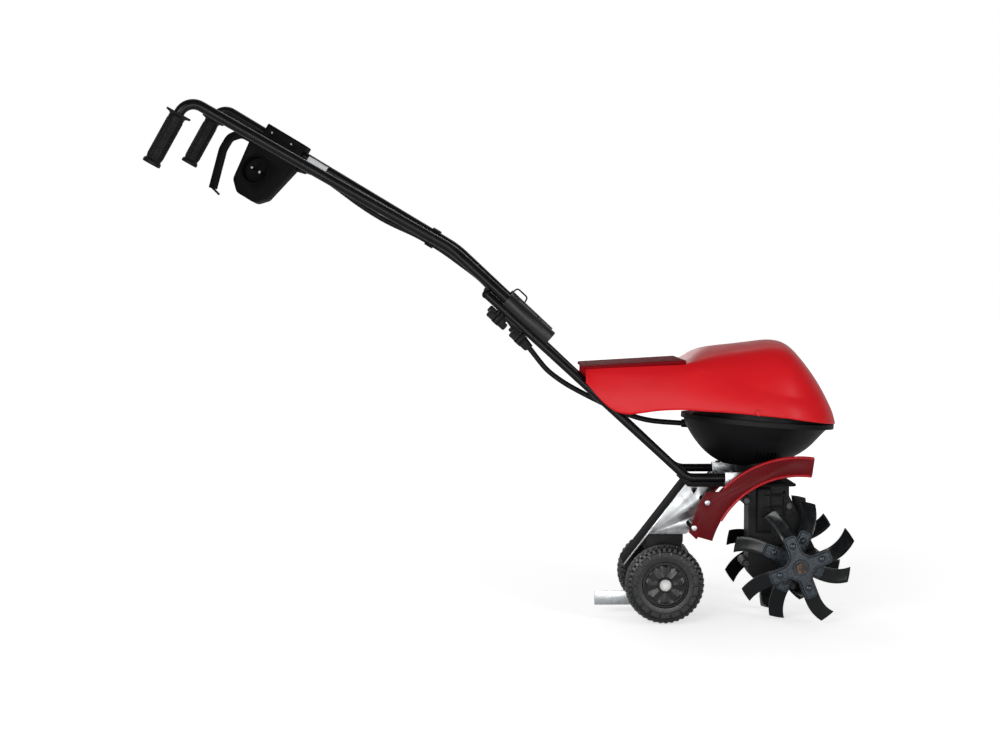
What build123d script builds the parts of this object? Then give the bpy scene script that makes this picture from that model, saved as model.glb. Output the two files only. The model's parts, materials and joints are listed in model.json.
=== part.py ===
from build123d import *
import os
from math import cos, pi, radians, sin, sqrt, tan

# Electric tiller, in millimetres: X points forwards, Y to the operator's left, Z up from the ground.
# The pieces are drawn with X = 0 on the tine shaft and moved at the end to the middle of the footprint.

# Fits
running_gap = 0.05
seat_gap = 0.1
free_gap = 0.4

# Tines
tine_shaft_r = 10.0
tine_shaft_half = 160.0
tine_tip_r = 114.0
tine_hub_r = 15.0
tine_hub_start = 36.0
tine_hub_end = 152.0
inner_star_y = 70.0
outer_star_y = 145.0
star_plate_t = 4.0
star_disc_r = 27.0
star_arm_end = 57.0
star_arm_w = 27.0
star_arm_round = 8.0
star_angle = 21.5
blades_per_star = 4
blade_w = 28.0
blade_t = 4.0
blade_sweep = 24.0
inner_lean = 16.0
outer_lean = 30.0
rivet_at = 42.0
rivet_r = 4.5
rivet_head_r = 7.0
rivet_head_h = 3.0
tine_pin_r = 4.0
tine_pin_y = 108.0

# Worm gear
gear_distance = 55.0
wheel_teeth = 20
wheel_pitch_r = 40.0
wheel_half_w = 8.0
tooth_addendum = 3.0
tooth_tip_w = 3.0
tooth_root_w = 5.8
worm_core_r = 11.4
worm_tip_r = 18.0
worm_root_w = 5.0
worm_tip_w = 2.2
worm_turns = 4
gear_gap = 0.8

# Gear case
case_half = 30.0
case_wall = 5.0
case_room = 3.0
case_top_z = 260.0
case_foot_front = -3.0
case_foot_h = 25.0
case_boss_r = 8.0
case_bolt_r = 3.0
case_bolt_head_r = 5.5
case_bolt_head_h = 4.0
bearing_outer_r = 21.0
bearing_w = 12.0
bearing_cover = 1.0
shaft_hole_gap = 2.0
seal_outer_r = 16.0
seal_w = 5.0
seal_gap = 0.3

# Motor
motor_shaft_r = 8.0
motor_top_z = 462.0
motor_bearing_r = 16.0
motor_bearing_w = 9.0
rotor_r = 24.0
rotor_z = 348.0
rotor_h = 60.0
air_gap = 0.8
stator_r = 46.0
winding_h = 16.0
winding_in = 4.0
housing_wall = 3.0
housing_floor_z = 318.0
fan_r = 40.0
fan_h = 16.0
fan_hub_r = 13.0
fan_blades = 8
fan_blade_t = 2.5

# Chassis plate and the saddles on it
plate_t = 4.0
plate_rear_x = -206.0
plate_front_x = -1.0
plate_half = 104.0
saddle_wall = 3.0
saddle_front_x = -76.0
saddle_rear_x = -136.0
saddle_bolt_r = 3.0

# Motor base, a bowl that is set nose down
bowl_tilt = 4.5
bowl_x = -61.0
bowl_z = 379.0
bowl_half_l = 143.0
bowl_half_w = 120.0
bowl_depth = 88.0
bowl_back_shift = 20.0
bowl_wall = 3.0
bowl_lip = 4.0
bowl_lip_h = 6.0
bowl_collar_h = 30.0
bowl_collar_in = 8.0
bowl_collar_end_in = 18.0
neck_r = 48.0
neck_wall = 4.0
vent_count = 6
vent_w = 3.0
vent_pitch = 7.0
vent_low_z = 299.0
vent_h = 22.0

# Bonnet
bonnet_wall = 3.0
bonnet_half_w = 132.0
bonnet_tail_x = -398.0
bonnet_tail_half = 114.0
bonnet_tail_z = 484.0
bonnet_hump_x = -206.0
bonnet_hump_z = 495.0
bonnet_top_x = -45.0
bonnet_top_z = 530.0
bonnet_front_x = 87.0
bonnet_front_z = 372.0
bonnet_side_z = 402.0
bonnet_shoulder_half = 102.0
bonnet_screw_r = 3.0
bonnet_screw_x = -78.0
bonnet_screw_z = 401.0
bonnet_boss_r = 7.0

# Mudguard, round the tine shaft
guard_r = 203.0
guard_skirt = 34.0
guard_wall = 2.0
guard_half = 126.0
guard_strip = 17.0
guard_front_deg = 82.0
guard_rear_deg = 164.0
guard_back_deg = 139.0
guard_screw_r = 3.0
guard_screw_length = 9.0
guard_stay_r = 6.0
guard_stay_degs = (145.4, 160.0)
guard_ear = ((-9.0, 134.0), (20.0, 141.5), (19.0, 148.5), (13.0, 163.0), (-4.0, 165.5), (-21.0, 152.0))

# Wheels and their bracket
wheel_r = 75.0
wheel_w = 44.0
wheel_back = 248.0
wheel_track = 180.0
tyre_inner_r = 42.0
tyre_shoulder = 9.0
hub_web = 10.0
hub_boss_r = 14.0
hub_boss_w = 40.0
axle_r = 6.0
axle_cap_r = 10.5
axle_cap_h = 7.0
bracket_half = 50.0
bracket_t = 3.0
bracket_top_x = -204.0
bracket_top_front_x = -160.0
bracket_low_x = -322.0
bracket_low_z = 107.0
carrier_half = 44.0
carrier_top_z = 164.0
carrier_boss_r = 18.0
spur_t = 5.0
spur_h = 27.0
spur_low_z = 20.0
spur_end_x = -374.0

# Handle: two lower tubes, two upper bars, and the small turn that the photograph shows them in
handle_roll = 3.3
frame_skew = 0.38
frame_half = 95.0
frame_tube_r = 8.0
frame_tube_wall = 1.5
frame_bend_x = -207.0
frame_bend_z = 276.0
frame_end_x = -80.0
frame_angle = 42.88
frame_run = 509.0
frame_bend_r = 40.0
cap_length = 14.0
cap_lip = 0.7
cap_end = 4.0
bar_r = 9.5
bar_wall = 1.5
bar_lift = 18.5
bar_overlap = 136.0
bar_straight = 239.0
bar_bend_r = 120.0
grip_half = 235.0
arm_back = 474.5
arm_rise = 278.0
apex_bend_r = 28.0
grip_back = 63.5
grip_drop = 113.0
grip_r = 14.5
grip_length = 104.0
grip_ribs = 9
grip_rib_h = 1.0
grip_flange_r = 24.0
grip_flange_t = 4.0
grip_foot_r = 16.0
grip_foot_t = 6.0
grip_end_wall = 4.0
sleeve_r = 15.0
sleeve_end = 6.0
sleeve_length = 109.0
handle_bolts_up = (40.0, 97.0)
handle_bolt_r = 3.0
bolt_head_r = 6.5
bolt_head_h = 3.5
knob_hub_r = 7.5
knob_length = 22.0
knob_wing_r = 22.0
knob_wing_t = 9.0
knob_wing_h = 14.0

# Switch box under the left bar: places are along the bar, square to it and inwards
switch_along = 156.0
switch_half = 28.0
switch_wall = 3.0
clamp_low = -43.0
clamp_high = 51.0
clamp_half = 17.0
clamp_top = 20.0
clamp_bottom = -16.0
clamp_screws = ((-26.0, 7.5), (21.0, 7.5))
inlet_along = -13.0
inlet_down = -73.0
inlet_r = 27.0
inlet_depth = 22.0
inlet_pin_r = 2.4
inlet_pitch = 19.0
inlet_pin_length = 18.0
lever_pivot = (-62.0, -24.0)
lever_pin_r = 3.0
lever_t = 6.0
lever_w = 17.0
lever_foot = 4.0
lever_slot = 8.0
button_at = (12.0, -62.0)
button_r = 8.0
button_flange_r = 11.0
button_flange_t = 2.0
button_travel = 4.0
button_proud = 6.0
small_screw_r = 3.0
small_screw_h = 2.0
box_screws = ((-26.0, -100.0), (18.0, -110.0), (36.0, -40.0))
block_at = (-28.0, -41.0)
block_l = 28.0
block_h = 10.0
block_low = -14.0
box_draft = 12.0
box_draft_depth = 26.0

# Motor cable, and the pieces that hold it
cable_r = 5.25
grommet_r = 8.0
grommet_length = 14.0
box_grommet_depth = 28.0
bowl_grommet_depth = 16.0
clip_run = 52.0
clip_w = 16.0
clip_wall = 3.0
hook_wire_r = 1.6
hook_up = (74.0, 116.0)
hook_rise = 10.0

NODES = {}


def node(name, *solids):
    """Keep one named piece, or a group of like pieces."""
    NODES[name] = solids[0] if len(solids) == 1 else Compound(list(solids))


def plate_xz(sketch, y_low, y_high):
    """A sketch drawn in X and Z, made a plate between two Y values."""
    plane = Plane(origin=(0, y_high, 0), x_dir=(1, 0, 0), z_dir=(0, -1, 0))
    return extrude(plane * sketch, amount=y_high - y_low, dir=(0, -1, 0))


def polygon(*points):
    """A closed outline, always taken anticlockwise."""
    turn = sum(a[0] * b[1] - b[0] * a[1] for a, b in zip(points, points[1:] + points[:1]))
    return Polygon(*(points if turn > 0 else points[::-1]), align=None)


def rod_y(radius, y_low, y_high, x, z):
    """A round bar along Y."""
    return plate_xz(Pos(x, z) * Circle(radius), y_low, y_high)


def rod_z(radius, z_low, z_high, x, y):
    """A round bar along Z."""
    return extrude(Pos(x, y, z_low) * Circle(radius), amount=z_high - z_low)


def ring_y(outer, inner, y_low, y_high, x, z):
    return rod_y(outer, y_low, y_high, x, z) - rod_y(inner, y_low - 1, y_high + 1, x, z)


def ring_z(outer, inner, z_low, z_high, x, y):
    return rod_z(outer, z_low, z_high, x, y) - rod_z(inner, z_low - 1, z_high + 1, x, y)


def block(x_low, x_high, y_low, y_high, z_low, z_high):
    middle = Pos((x_low + x_high) / 2, (y_low + y_high) / 2, (z_low + z_high) / 2)
    return middle * Box(x_high - x_low, y_high - y_low, z_high - z_low)


def rod_between(radius, start, end):
    """A round bar from one point to another."""
    step = Vector(end) - Vector(start)
    return extrude(Plane(origin=start, z_dir=step) * Circle(radius), amount=step.length)


def swept_rod(points, radii, radius):
    """A round bar along straight runs joined by tangent arcs."""
    path = FilletPolyline(*points, radius=radii)
    return sweep(Plane(origin=path @ 0, z_dir=path % 0) * Circle(radius), path=path)


# Tines, whose tips reach down to the ground

tine_shaft_z = tine_tip_r


def star_point(radius, angle):
    return radius * cos(radians(angle)), tine_shaft_z + radius * sin(radians(angle))


def star_plate(y_mid, first_angle):
    """A pressed plate with one arm for each blade."""
    outline = Circle(star_disc_r)
    for k in range(blades_per_star):
        arm = Pos(star_arm_end / 2, 0) * RectangleRounded(star_arm_end, star_arm_w, star_arm_round)
        outline += Rot(0, 0, first_angle + k * 360 / blades_per_star) * arm
    plate = plate_xz(Pos(0, tine_shaft_z) * outline, y_mid - star_plate_t / 2, y_mid + star_plate_t / 2)
    plate -= rod_y(tine_hub_r - 1, y_mid - star_plate_t, y_mid + star_plate_t, 0, tine_shaft_z)
    for k in range(blades_per_star):
        x, z = star_point(rivet_at, first_angle + k * 360 / blades_per_star)
        plate -= rod_y(rivet_r, y_mid - star_plate_t, y_mid + star_plate_t, x, z)
    return plate


def blade_centre(share, lean):
    """The middle of a blade at a share of the tip radius: it stays flat on the plate, then curves away."""
    curve = max(0.0, (share - 0.47) / 0.53)
    across = blade_sweep * curve ** 2.4
    return Vector(sqrt((tine_tip_r * share) ** 2 - across ** 2), across, -lean * curve ** 1.3)


def tine_blade(y_root, angle, lean):
    """A curved blade: it leaves the plate along its arm, sweeps round and leans along Y."""
    direction = (cos(radians(angle)), 0, sin(radians(angle)))
    place = Plane(origin=(0, y_root, tine_shaft_z), x_dir=direction, z_dir=(0, -1, 0))
    sections = []
    for share, width in ((0.19, 1.0), (0.47, 1.0), (0.58, 1.0), (0.68, 1.0), (0.77, 0.98),
                         (0.86, 0.94), (0.95, 0.88), (1.04, 0.8)):
        centre = blade_centre(share, lean)
        ahead = blade_centre(share + 0.01, lean) - centre
        cut = Plane(origin=centre, x_dir=(-ahead.Y, ahead.X, 0), z_dir=ahead)
        sections.append(cut * Rectangle(blade_w * width, blade_t))
    blade = loft(sections, ruled=True) - Pos(rivet_at, 0, 0) * Cylinder(rivet_r, 3 * blade_t)
    blade &= Cylinder(tine_tip_r, 8 * outer_lean)
    return place * blade


def tines():
    hubs, blades, rivets, pins = [], [], [], []
    for side in (-1, 1):
        low, high = sorted((side * tine_hub_start, side * tine_hub_end))
        hub = ring_y(tine_hub_r, tine_shaft_r + seat_gap / 2, low, high, 0, tine_shaft_z)
        stars = ((inner_star_y, star_angle + 45, inner_lean), (outer_star_y, star_angle, outer_lean))
        for y, first_angle, lean in stars:
            hub += star_plate(side * y, first_angle)
            root = side * (y - star_plate_t / 2 - blade_t / 2)
            face = y + star_plate_t / 2
            for k in range(blades_per_star):
                angle = first_angle + k * 360 / blades_per_star
                blades.append(tine_blade(root, angle, -side * lean))
                x, z = star_point(rivet_at, angle)
                back = face - star_plate_t - blade_t
                shank = rod_y(rivet_r, *sorted((side * back, side * face)), x, z)
                head = rod_y(rivet_head_r, *sorted((side * face, side * (face + rivet_head_h))), x, z)
                tail = rod_y(rivet_head_r, *sorted((side * (back - rivet_head_h), side * back)), x, z)
                rivets.append(shank + head + tail)
        pin_hole = rod_z(tine_pin_r, tine_shaft_z - 2 * tine_hub_r, tine_shaft_z + 2 * tine_hub_r,
                         0, side * tine_pin_y)
        hubs.append(hub - pin_hole)
        pin = rod_z(tine_pin_r, tine_shaft_z - tine_hub_r - 5, tine_shaft_z + tine_hub_r + 1,
                    0, side * tine_pin_y)
        head = rod_z(tine_pin_r + 2.5, tine_shaft_z + tine_hub_r + 1, tine_shaft_z + tine_hub_r + 4,
                     0, side * tine_pin_y)
        pins.append(pin + head)
    shaft = rod_y(tine_shaft_r, -tine_shaft_half, tine_shaft_half, 0, tine_shaft_z)
    for side in (-1, 1):
        shaft -= rod_z(tine_pin_r, 0, 2 * tine_shaft_z, 0, side * tine_pin_y)
    node("tine_shaft", shaft)
    node("tine_hubs", *hubs)
    node("tine_blades", *blades)
    node("tine_rivets", *rivets)
    node("tine_pins", *pins)


# Worm gear, with the worm upright behind the tine shaft

worm_lead = 2 * pi * wheel_pitch_r / wheel_teeth
worm_half = worm_lead * worm_turns / 2
worm_core_half = worm_half + worm_root_w
wheel_tip_r = wheel_pitch_r + tooth_addendum


def worm_wheel():
    root_r = gear_distance - worm_tip_r - gear_gap
    outline = Circle(root_r)
    tooth = polygon((root_r - 1, -tooth_root_w / 2), (wheel_tip_r, -tooth_tip_w / 2),
                    (wheel_tip_r, tooth_tip_w / 2), (root_r - 1, tooth_root_w / 2))
    for k in range(wheel_teeth):
        outline += Rot(0, 0, (k + 0.5) * 360 / wheel_teeth) * tooth
    wheel = plate_xz(Pos(0, tine_shaft_z) * outline, -wheel_half_w, wheel_half_w)
    node("worm_wheel", wheel - rod_y(tine_shaft_r + seat_gap / 2, -2 * wheel_half_w, 2 * wheel_half_w,
                                     0, tine_shaft_z))


worm_bearing_low_z = tine_shaft_z - worm_core_half - motor_bearing_w
worm_bearing_high_z = case_top_z - motor_bearing_w - bearing_cover


def worm_shaft():
    helix = Helix(pitch=worm_lead, height=2 * worm_half, radius=worm_core_r)
    cut = Plane(origin=helix @ 0, x_dir=(1, 0, 0), z_dir=helix % 0)
    rise = worm_tip_r - worm_core_r
    section = polygon((-1, -worm_root_w / 2), (rise, -worm_tip_w / 2),
                      (rise, worm_tip_w / 2), (-1, worm_root_w / 2))
    thread = sweep(cut * section, path=helix, is_frenet=True)
    core = rod_z(worm_core_r, -worm_core_half + worm_half, worm_core_half + worm_half, 0, 0)
    worm = Pos(-gear_distance, 0, tine_shaft_z - worm_half) * (core + thread)
    node("worm_shaft", worm + rod_z(motor_shaft_r, worm_bearing_low_z, motor_top_z, -gear_distance, 0))


# Gear case: two halves that meet in the middle, bearings and seals

def case_outline():
    case_r = wheel_tip_r + case_room + case_wall
    column_r = worm_tip_r + case_room + case_wall
    column_low = worm_bearing_low_z + column_r - case_wall
    lean_x = case_r * cos(radians(25))
    lean_z = tine_shaft_z + case_r * sin(radians(25))
    outline = Pos(0, tine_shaft_z) * Circle(case_r)
    outline += Pos(-gear_distance, column_low) * Circle(column_r)
    outline += polygon((-gear_distance - column_r, column_low), (-gear_distance - column_r, case_top_z),
                       (case_foot_front, case_top_z), (case_foot_front, case_top_z - case_foot_h),
                       (lean_x, lean_z), (0, tine_shaft_z - case_r), (-gear_distance, column_low - column_r))
    for x, z in case_bolt_places():
        outline += Pos(x, z) * Circle(case_boss_r)
    return outline


def case_bolt_places():
    case_r = wheel_tip_r + case_room + case_wall
    column_x = -gear_distance - worm_tip_r - case_room - case_wall
    return ((column_x - 4, tine_shaft_z - 10), (column_x - 4, case_top_z - 35),
            (case_foot_front, case_top_z - 45),
            (case_r + 3, tine_shaft_z + 5), (4, tine_shaft_z - case_r - 3))


def gear_case():
    outline = case_outline()
    room_half = wheel_half_w + case_room + 1
    seat_in = case_half - bearing_cover - bearing_w
    hollow = rod_y(wheel_tip_r + case_room, -room_half, room_half, 0, tine_shaft_z)
    hollow += rod_y(tine_shaft_r + shaft_hole_gap, -2 * case_half, 2 * case_half, 0, tine_shaft_z)
    for side in (-1, 1):
        seat = sorted((side * seat_in, side * (case_half - bearing_cover)))
        hollow += rod_y(bearing_outer_r + seat_gap, *seat, 0, tine_shaft_z)
    hollow += rod_z(worm_tip_r + case_room, worm_bearing_low_z + motor_bearing_w,
                    tine_shaft_z + worm_core_half + case_room, -gear_distance, 0)
    hollow += rod_z(motor_shaft_r + shaft_hole_gap, worm_bearing_low_z, case_top_z + 1, -gear_distance, 0)
    for z in (worm_bearing_low_z, worm_bearing_high_z):
        hollow += rod_z(motor_bearing_r + seat_gap, z, z + motor_bearing_w, -gear_distance, 0)
    bolts = []
    for x, z in case_bolt_places():
        hollow += rod_y(case_bolt_r + seat_gap, -2 * case_half, 2 * case_half, x, z)
        reach = case_half + case_bolt_head_h
        bolts.append(rod_y(case_bolt_r, -case_half, case_half, x, z)
                     + rod_y(case_bolt_head_r, -reach, -case_half, x, z)
                     + rod_y(case_bolt_head_r, case_half, reach, x, z))
    node("gear_case_right", plate_xz(outline, -case_half, 0) - hollow)
    node("gear_case_left", plate_xz(outline, 0, case_half) - hollow)
    bearings, seals = [], []
    for side in (-1, 1):
        seat = sorted((side * seat_in, side * (case_half - bearing_cover)))
        bearings.append(ring_y(bearing_outer_r, tine_shaft_r + running_gap, *seat, 0, tine_shaft_z))
        place = sorted((side * case_half, side * (case_half + seal_w)))
        seals.append(ring_y(seal_outer_r, tine_shaft_r + seal_gap, *place, 0, tine_shaft_z))
    for z in (worm_bearing_low_z, worm_bearing_high_z, top_bearing_z):
        bearings.append(ring_z(motor_bearing_r, motor_shaft_r + running_gap, z, z + motor_bearing_w,
                               -gear_distance, 0))
    node("ball_bearings", *bearings)
    node("shaft_seals", *seals)
    return bolts


# Motor

winding_low_z = rotor_z - winding_h - seat_gap
winding_high_z = rotor_z + rotor_h + seat_gap
top_bearing_z = winding_high_z + winding_h + case_room
housing_top_z = top_bearing_z + motor_bearing_w


def motor():
    x = -gear_distance
    bore = motor_shaft_r + seat_gap / 2
    node("rotor_core", ring_z(rotor_r, bore, rotor_z, rotor_z + rotor_h, x, 0))
    stator_in = rotor_r + air_gap
    node("motor_stator", ring_z(stator_r - seat_gap, stator_in, rotor_z, rotor_z + rotor_h, x, 0))
    coils = [ring_z(stator_r - winding_in, stator_in + winding_in, z, z + winding_h, x, 0)
             for z in (winding_low_z, winding_high_z)]
    node("stator_windings", *coils)
    can_r = stator_r + housing_wall
    can = ring_z(can_r, stator_r, housing_floor_z, housing_top_z, x, 0)
    can += ring_z(can_r, motor_shaft_r + shaft_hole_gap, housing_floor_z, housing_floor_z + housing_wall, x, 0)
    can += ring_z(can_r, motor_bearing_r + seat_gap, top_bearing_z, housing_top_z, x, 0)
    can += ring_z(stator_r + seat_gap, stator_r - winding_in, rotor_z - housing_wall - seat_gap,
                  rotor_z - seat_gap, x, 0)
    node("motor_housing", can)
    fan_z = housing_top_z + case_room
    fan = ring_z(fan_hub_r, bore, fan_z, fan_z + fan_h, x, 0)
    fan += ring_z(fan_r, fan_hub_r - 1, fan_z, fan_z + fan_blade_t, x, 0)
    vane = block(fan_hub_r - 1, fan_r - 1, -fan_blade_t / 2, fan_blade_t / 2, fan_z, fan_z + fan_h)
    for k in range(fan_blades):
        fan += Pos(x, 0, 0) * Rot(0, 0, k * 360 / fan_blades) * vane
    node("cooling_fan", fan)


# Handle frame: each side is the mirror of the other, apart from the small turn

def side_name(side):
    return "left" if side > 0 else "right"


bar_end_run = frame_run - bar_overlap
bar_bend_run = bar_end_run + bar_straight
sleeve_low_run = bar_end_run - sleeve_end
sleeve_high_run = sleeve_low_run + sleeve_length
handle_bolt_runs = [sleeve_low_run + up for up in handle_bolts_up]


def frame_point(side, run, lift, inward=0.0):
    """A point beside the sloping run of a frame tube: run along it from its bend, lift square to it."""
    angle = radians(frame_angle + side * frame_skew)
    x = frame_bend_x - run * cos(angle) + lift * sin(angle)
    z = frame_bend_z + run * sin(angle) + lift * cos(angle)
    return Vector(x, side * (frame_half - inward), z)


def grip_point(side, back, drop):
    """A point in the plane of a grip: back and down from the corner at the top of its bar."""
    bend = frame_point(0, bar_bend_run, bar_lift)
    roll = side * grip_half * tan(radians(handle_roll))
    return Vector(bend.X - arm_back - back, side * grip_half, bend.Z + arm_rise - drop + roll)


def tube(points, radii, radius, wall):
    return swept_rod(points, radii, radius) - swept_rod(points, radii, radius - wall)


def frame_points(side):
    end = Vector(frame_end_x, side * frame_half, frame_bend_z)
    return [end, frame_point(side, 0, 0), frame_point(side, frame_run, 0)]


def bar_points(side):
    return [frame_point(side, bar_end_run, bar_lift), frame_point(side, bar_bend_run, bar_lift),
            grip_point(side, 0, 0), grip_point(side, grip_back, grip_drop)]


def handle_bolt_hole(side, run, radius):
    top = bar_lift + 2 * sleeve_r
    return rod_between(radius, frame_point(side, run, -top), frame_point(side, run, top))


def handle_side(side):
    name = side_name(side)
    lower = tube(frame_points(side), [frame_bend_r], frame_tube_r, frame_tube_wall)
    upper = tube(bar_points(side), [bar_bend_r, apex_bend_r], bar_r, bar_wall)
    for run in handle_bolt_runs:
        lower -= handle_bolt_hole(side, run, handle_bolt_r + seat_gap)
        upper -= handle_bolt_hole(side, run, handle_bolt_r + seat_gap)
    node("frame_tube_" + name, lower)
    node("handlebar_" + name, upper)
    grip(side)


def clamp_sleeve(side):
    """A moulded sleeve on the end of the bar, with a groove below that the frame tube lies in."""
    low = frame_point(side, sleeve_low_run, bar_lift)
    high = frame_point(side, sleeve_high_run, bar_lift)
    sleeve = rod_between(sleeve_r, low, high)
    sleeve -= rod_between(bar_r + seat_gap, frame_point(side, bar_end_run - seat_gap, bar_lift),
                          frame_point(side, sleeve_high_run + 1, bar_lift))
    sleeve -= rod_between(frame_tube_r + seat_gap, frame_point(side, 0, 0), frame_point(side, frame_run, 0))
    head_lift = bar_lift + sleeve_r - bolt_head_h
    for run in handle_bolt_runs:
        sleeve -= handle_bolt_hole(side, run, handle_bolt_r + seat_gap)
        sleeve -= rod_between(bolt_head_r + seat_gap, frame_point(side, run, head_lift),
                              frame_point(side, run, head_lift + sleeve_r))
    return sleeve


def handle_bolt(side, run):
    head_lift = bar_lift + sleeve_r - bolt_head_h
    tip_lift = -frame_tube_r - free_gap - knob_length + 4
    shank = rod_between(handle_bolt_r, frame_point(side, run, tip_lift), frame_point(side, run, head_lift))
    return shank + rod_between(bolt_head_r, frame_point(side, run, head_lift),
                               frame_point(side, run, head_lift + bolt_head_h))


def knob_place(side, run):
    """The knob's own place: local Z points away from the tube, local X along it."""
    down = frame_point(side, run, -1) - frame_point(side, run, 0)
    along = frame_point(side, run + 1, 0) - frame_point(side, run, 0)
    return Plane(origin=frame_point(side, run, -frame_tube_r - free_gap), x_dir=along, z_dir=down)


def wing_knob(side, run):
    knob = Pos(0, 0, knob_length / 2) * Cylinder(knob_hub_r, knob_length)
    wing = Box(knob_wing_r, knob_wing_t, knob_wing_h)
    wing = fillet(wing.edges().filter_by(Axis.Y), knob_wing_t * 0.4)
    for way in (-1, 1):
        knob += Pos(way * knob_wing_r / 2, 0, knob_length - knob_wing_h / 2 - 1) * wing
    knob -= Pos(0, 0, knob_length / 2) * Cylinder(handle_bolt_r + running_gap, 2 * knob_length)
    return knob_place(side, run) * knob


def grip_axis(side):
    end = grip_point(side, grip_back, grip_drop)
    return end, (grip_point(side, 0, 0) - end).normalized()


def grip(side):
    """A ribbed rubber grip with a hand flange, pushed over the end of the bar."""
    end, up = grip_axis(side)
    place = Plane(origin=end - up * grip_end_wall, x_dir=(0, 1, 0), z_dir=up)
    half_rib = (grip_length - grip_foot_t - grip_flange_t) / grip_ribs / 2
    profile = [(0, 0), (grip_foot_r, 0), (grip_foot_r, grip_foot_t)]
    for k in range(grip_ribs):
        low = grip_foot_t + 2 * half_rib * k
        profile += [(grip_r - grip_rib_h, low), (grip_r - grip_rib_h, low + half_rib * 0.6),
                    (grip_r, low + half_rib), (grip_r, low + 2 * half_rib)]
    profile += [(grip_flange_r, grip_length - grip_flange_t), (grip_flange_r, grip_length), (0, grip_length)]
    body = revolve(Plane.XZ * make_face(Polyline(*profile, close=True)), axis=Axis.Z)
    body -= Pos(0, 0, grip_end_wall + grip_length / 2) * Cylinder(bar_r + seat_gap, grip_length)
    node("grip_" + side_name(side), place * body)


def tube_cap(side):
    """A plug with a round lip on the upper end of a frame tube."""
    inside = frame_point(side, frame_run - cap_length, 0)
    rim = frame_point(side, frame_run, 0)
    end = frame_point(side, frame_run + cap_end, 0)
    plug = rod_between(frame_tube_r - frame_tube_wall - seat_gap, inside, rim)
    return plug + rod_between(frame_tube_r + cap_lip, rim, end)


def hook_points(side):
    top = bar_lift + sleeve_r
    low_run, high_run = [sleeve_low_run + up for up in hook_up]
    return [frame_point(side, low_run, top - 5), frame_point(side, low_run + 3, top + hook_rise),
            frame_point(side, high_run - 12, top + hook_rise), frame_point(side, high_run - 10, top - 5)]


def hook_holes(side):
    """The two holes in the sleeve for the legs of the wire."""
    points = hook_points(side)
    holes = []
    for end, before in ((points[0], points[1]), (points[3], points[2])):
        deeper = end + (end - before).normalized()
        holes.append(rod_between(hook_wire_r + seat_gap, deeper, before))
    return holes


def handle():
    for side in (-1, 1):
        handle_side(side)
    node("clamp_sleeves", clamp_sleeve(-1), clamp_sleeve(1) - hook_holes(1))
    node("cable_hook", swept_rod(hook_points(1), [6, 6], hook_wire_r))
    node("tube_caps", tube_cap(-1), tube_cap(1))
    node("handle_bolts", *[handle_bolt(side, run) for side in (-1, 1) for run in handle_bolt_runs])
    for side in (-1, 1):
        for place, run in zip(("low", "high"), handle_bolt_runs):
            node("wing_knob_" + side_name(side) + "_" + place, wing_knob(side, run))


# Chassis plate, saddles for the frame tubes

plate_top_z = case_top_z + plate_t


def chassis():
    plate = block(plate_rear_x, plate_front_x, -plate_half, plate_half, case_top_z, plate_top_z)
    plate = fillet(plate.edges().filter_by(Axis.Z), 12)
    plate -= rod_z(motor_shaft_r + shaft_hole_gap, case_top_z - 1, plate_top_z + 1, -gear_distance, 0)
    saddles, bolts = [], []
    bolt_x = ((saddle_front_x + saddle_rear_x) / 2 - 18, (saddle_front_x + saddle_rear_x) / 2 + 18)
    for side in (-1, 1):
        middle = Vector(0, side * frame_half, frame_bend_z)
        half = frame_tube_r + saddle_wall
        saddle = block(saddle_rear_x, saddle_front_x, middle.Y - half, middle.Y + half,
                       plate_top_z, middle.Z + half)
        low = (saddle_rear_x - 1, middle.Y, middle.Z)
        saddle -= rod_between(frame_tube_r + seat_gap, low, (saddle_front_x - saddle_wall, middle.Y, middle.Z))
        for x in bolt_x:
            head_z = middle.Z + half
            hole = rod_z(saddle_bolt_r + seat_gap, case_top_z - 1, head_z + 1, x, middle.Y)
            saddle -= hole
            plate -= hole
            NODES["frame_tube_" + side_name(side)] -= hole
            bolts.append(rod_z(saddle_bolt_r, case_top_z - 2, head_z, x, middle.Y)
                         + rod_z(saddle_bolt_r + 2, head_z, head_z + 3, x, middle.Y))
        saddles.append(saddle)
    node("chassis_plate", plate)
    node("frame_saddles", *saddles)
    return bolts


# Motor base: a bowl in a frame of its own, nose down

def bowl_place():
    tilt = radians(bowl_tilt)
    return Plane(origin=(bowl_x, 0, bowl_z), x_dir=(cos(tilt), 0, -sin(tilt)), z_dir=(sin(tilt), 0, cos(tilt)))


def bowl_solid(inset):
    """The bowl's outside, or its inside when inset by the wall."""
    shares = ((0.0, 0.0, 1.0), (0.28, 0.35, 0.885), (0.57, 0.45, 0.74), (0.85, 0.8, 0.50), (1.0, 1.0, 0.29))
    rings = []
    for depth, back, size in shares:
        level = -bowl_depth * depth + (inset if depth > 0 else 0)
        ellipse = Ellipse(bowl_half_l * size - inset, bowl_half_w * size - inset)
        rings.append(Pos(-bowl_back_shift * back, 0, level) * ellipse)
    return loft(rings)


def bowl_ring(grow_l, grow_w, level_low, level_high, wall):
    outer = Ellipse(bowl_half_l + grow_l, bowl_half_w + grow_w)
    inner = Ellipse(bowl_half_l + grow_l - wall, bowl_half_w + grow_w - wall)
    return extrude(Pos(0, 0, level_low) * (outer - inner), amount=level_high - level_low)


boss_in_y = -(bowl_half_w - bowl_collar_in - bowl_wall / 2)


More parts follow.
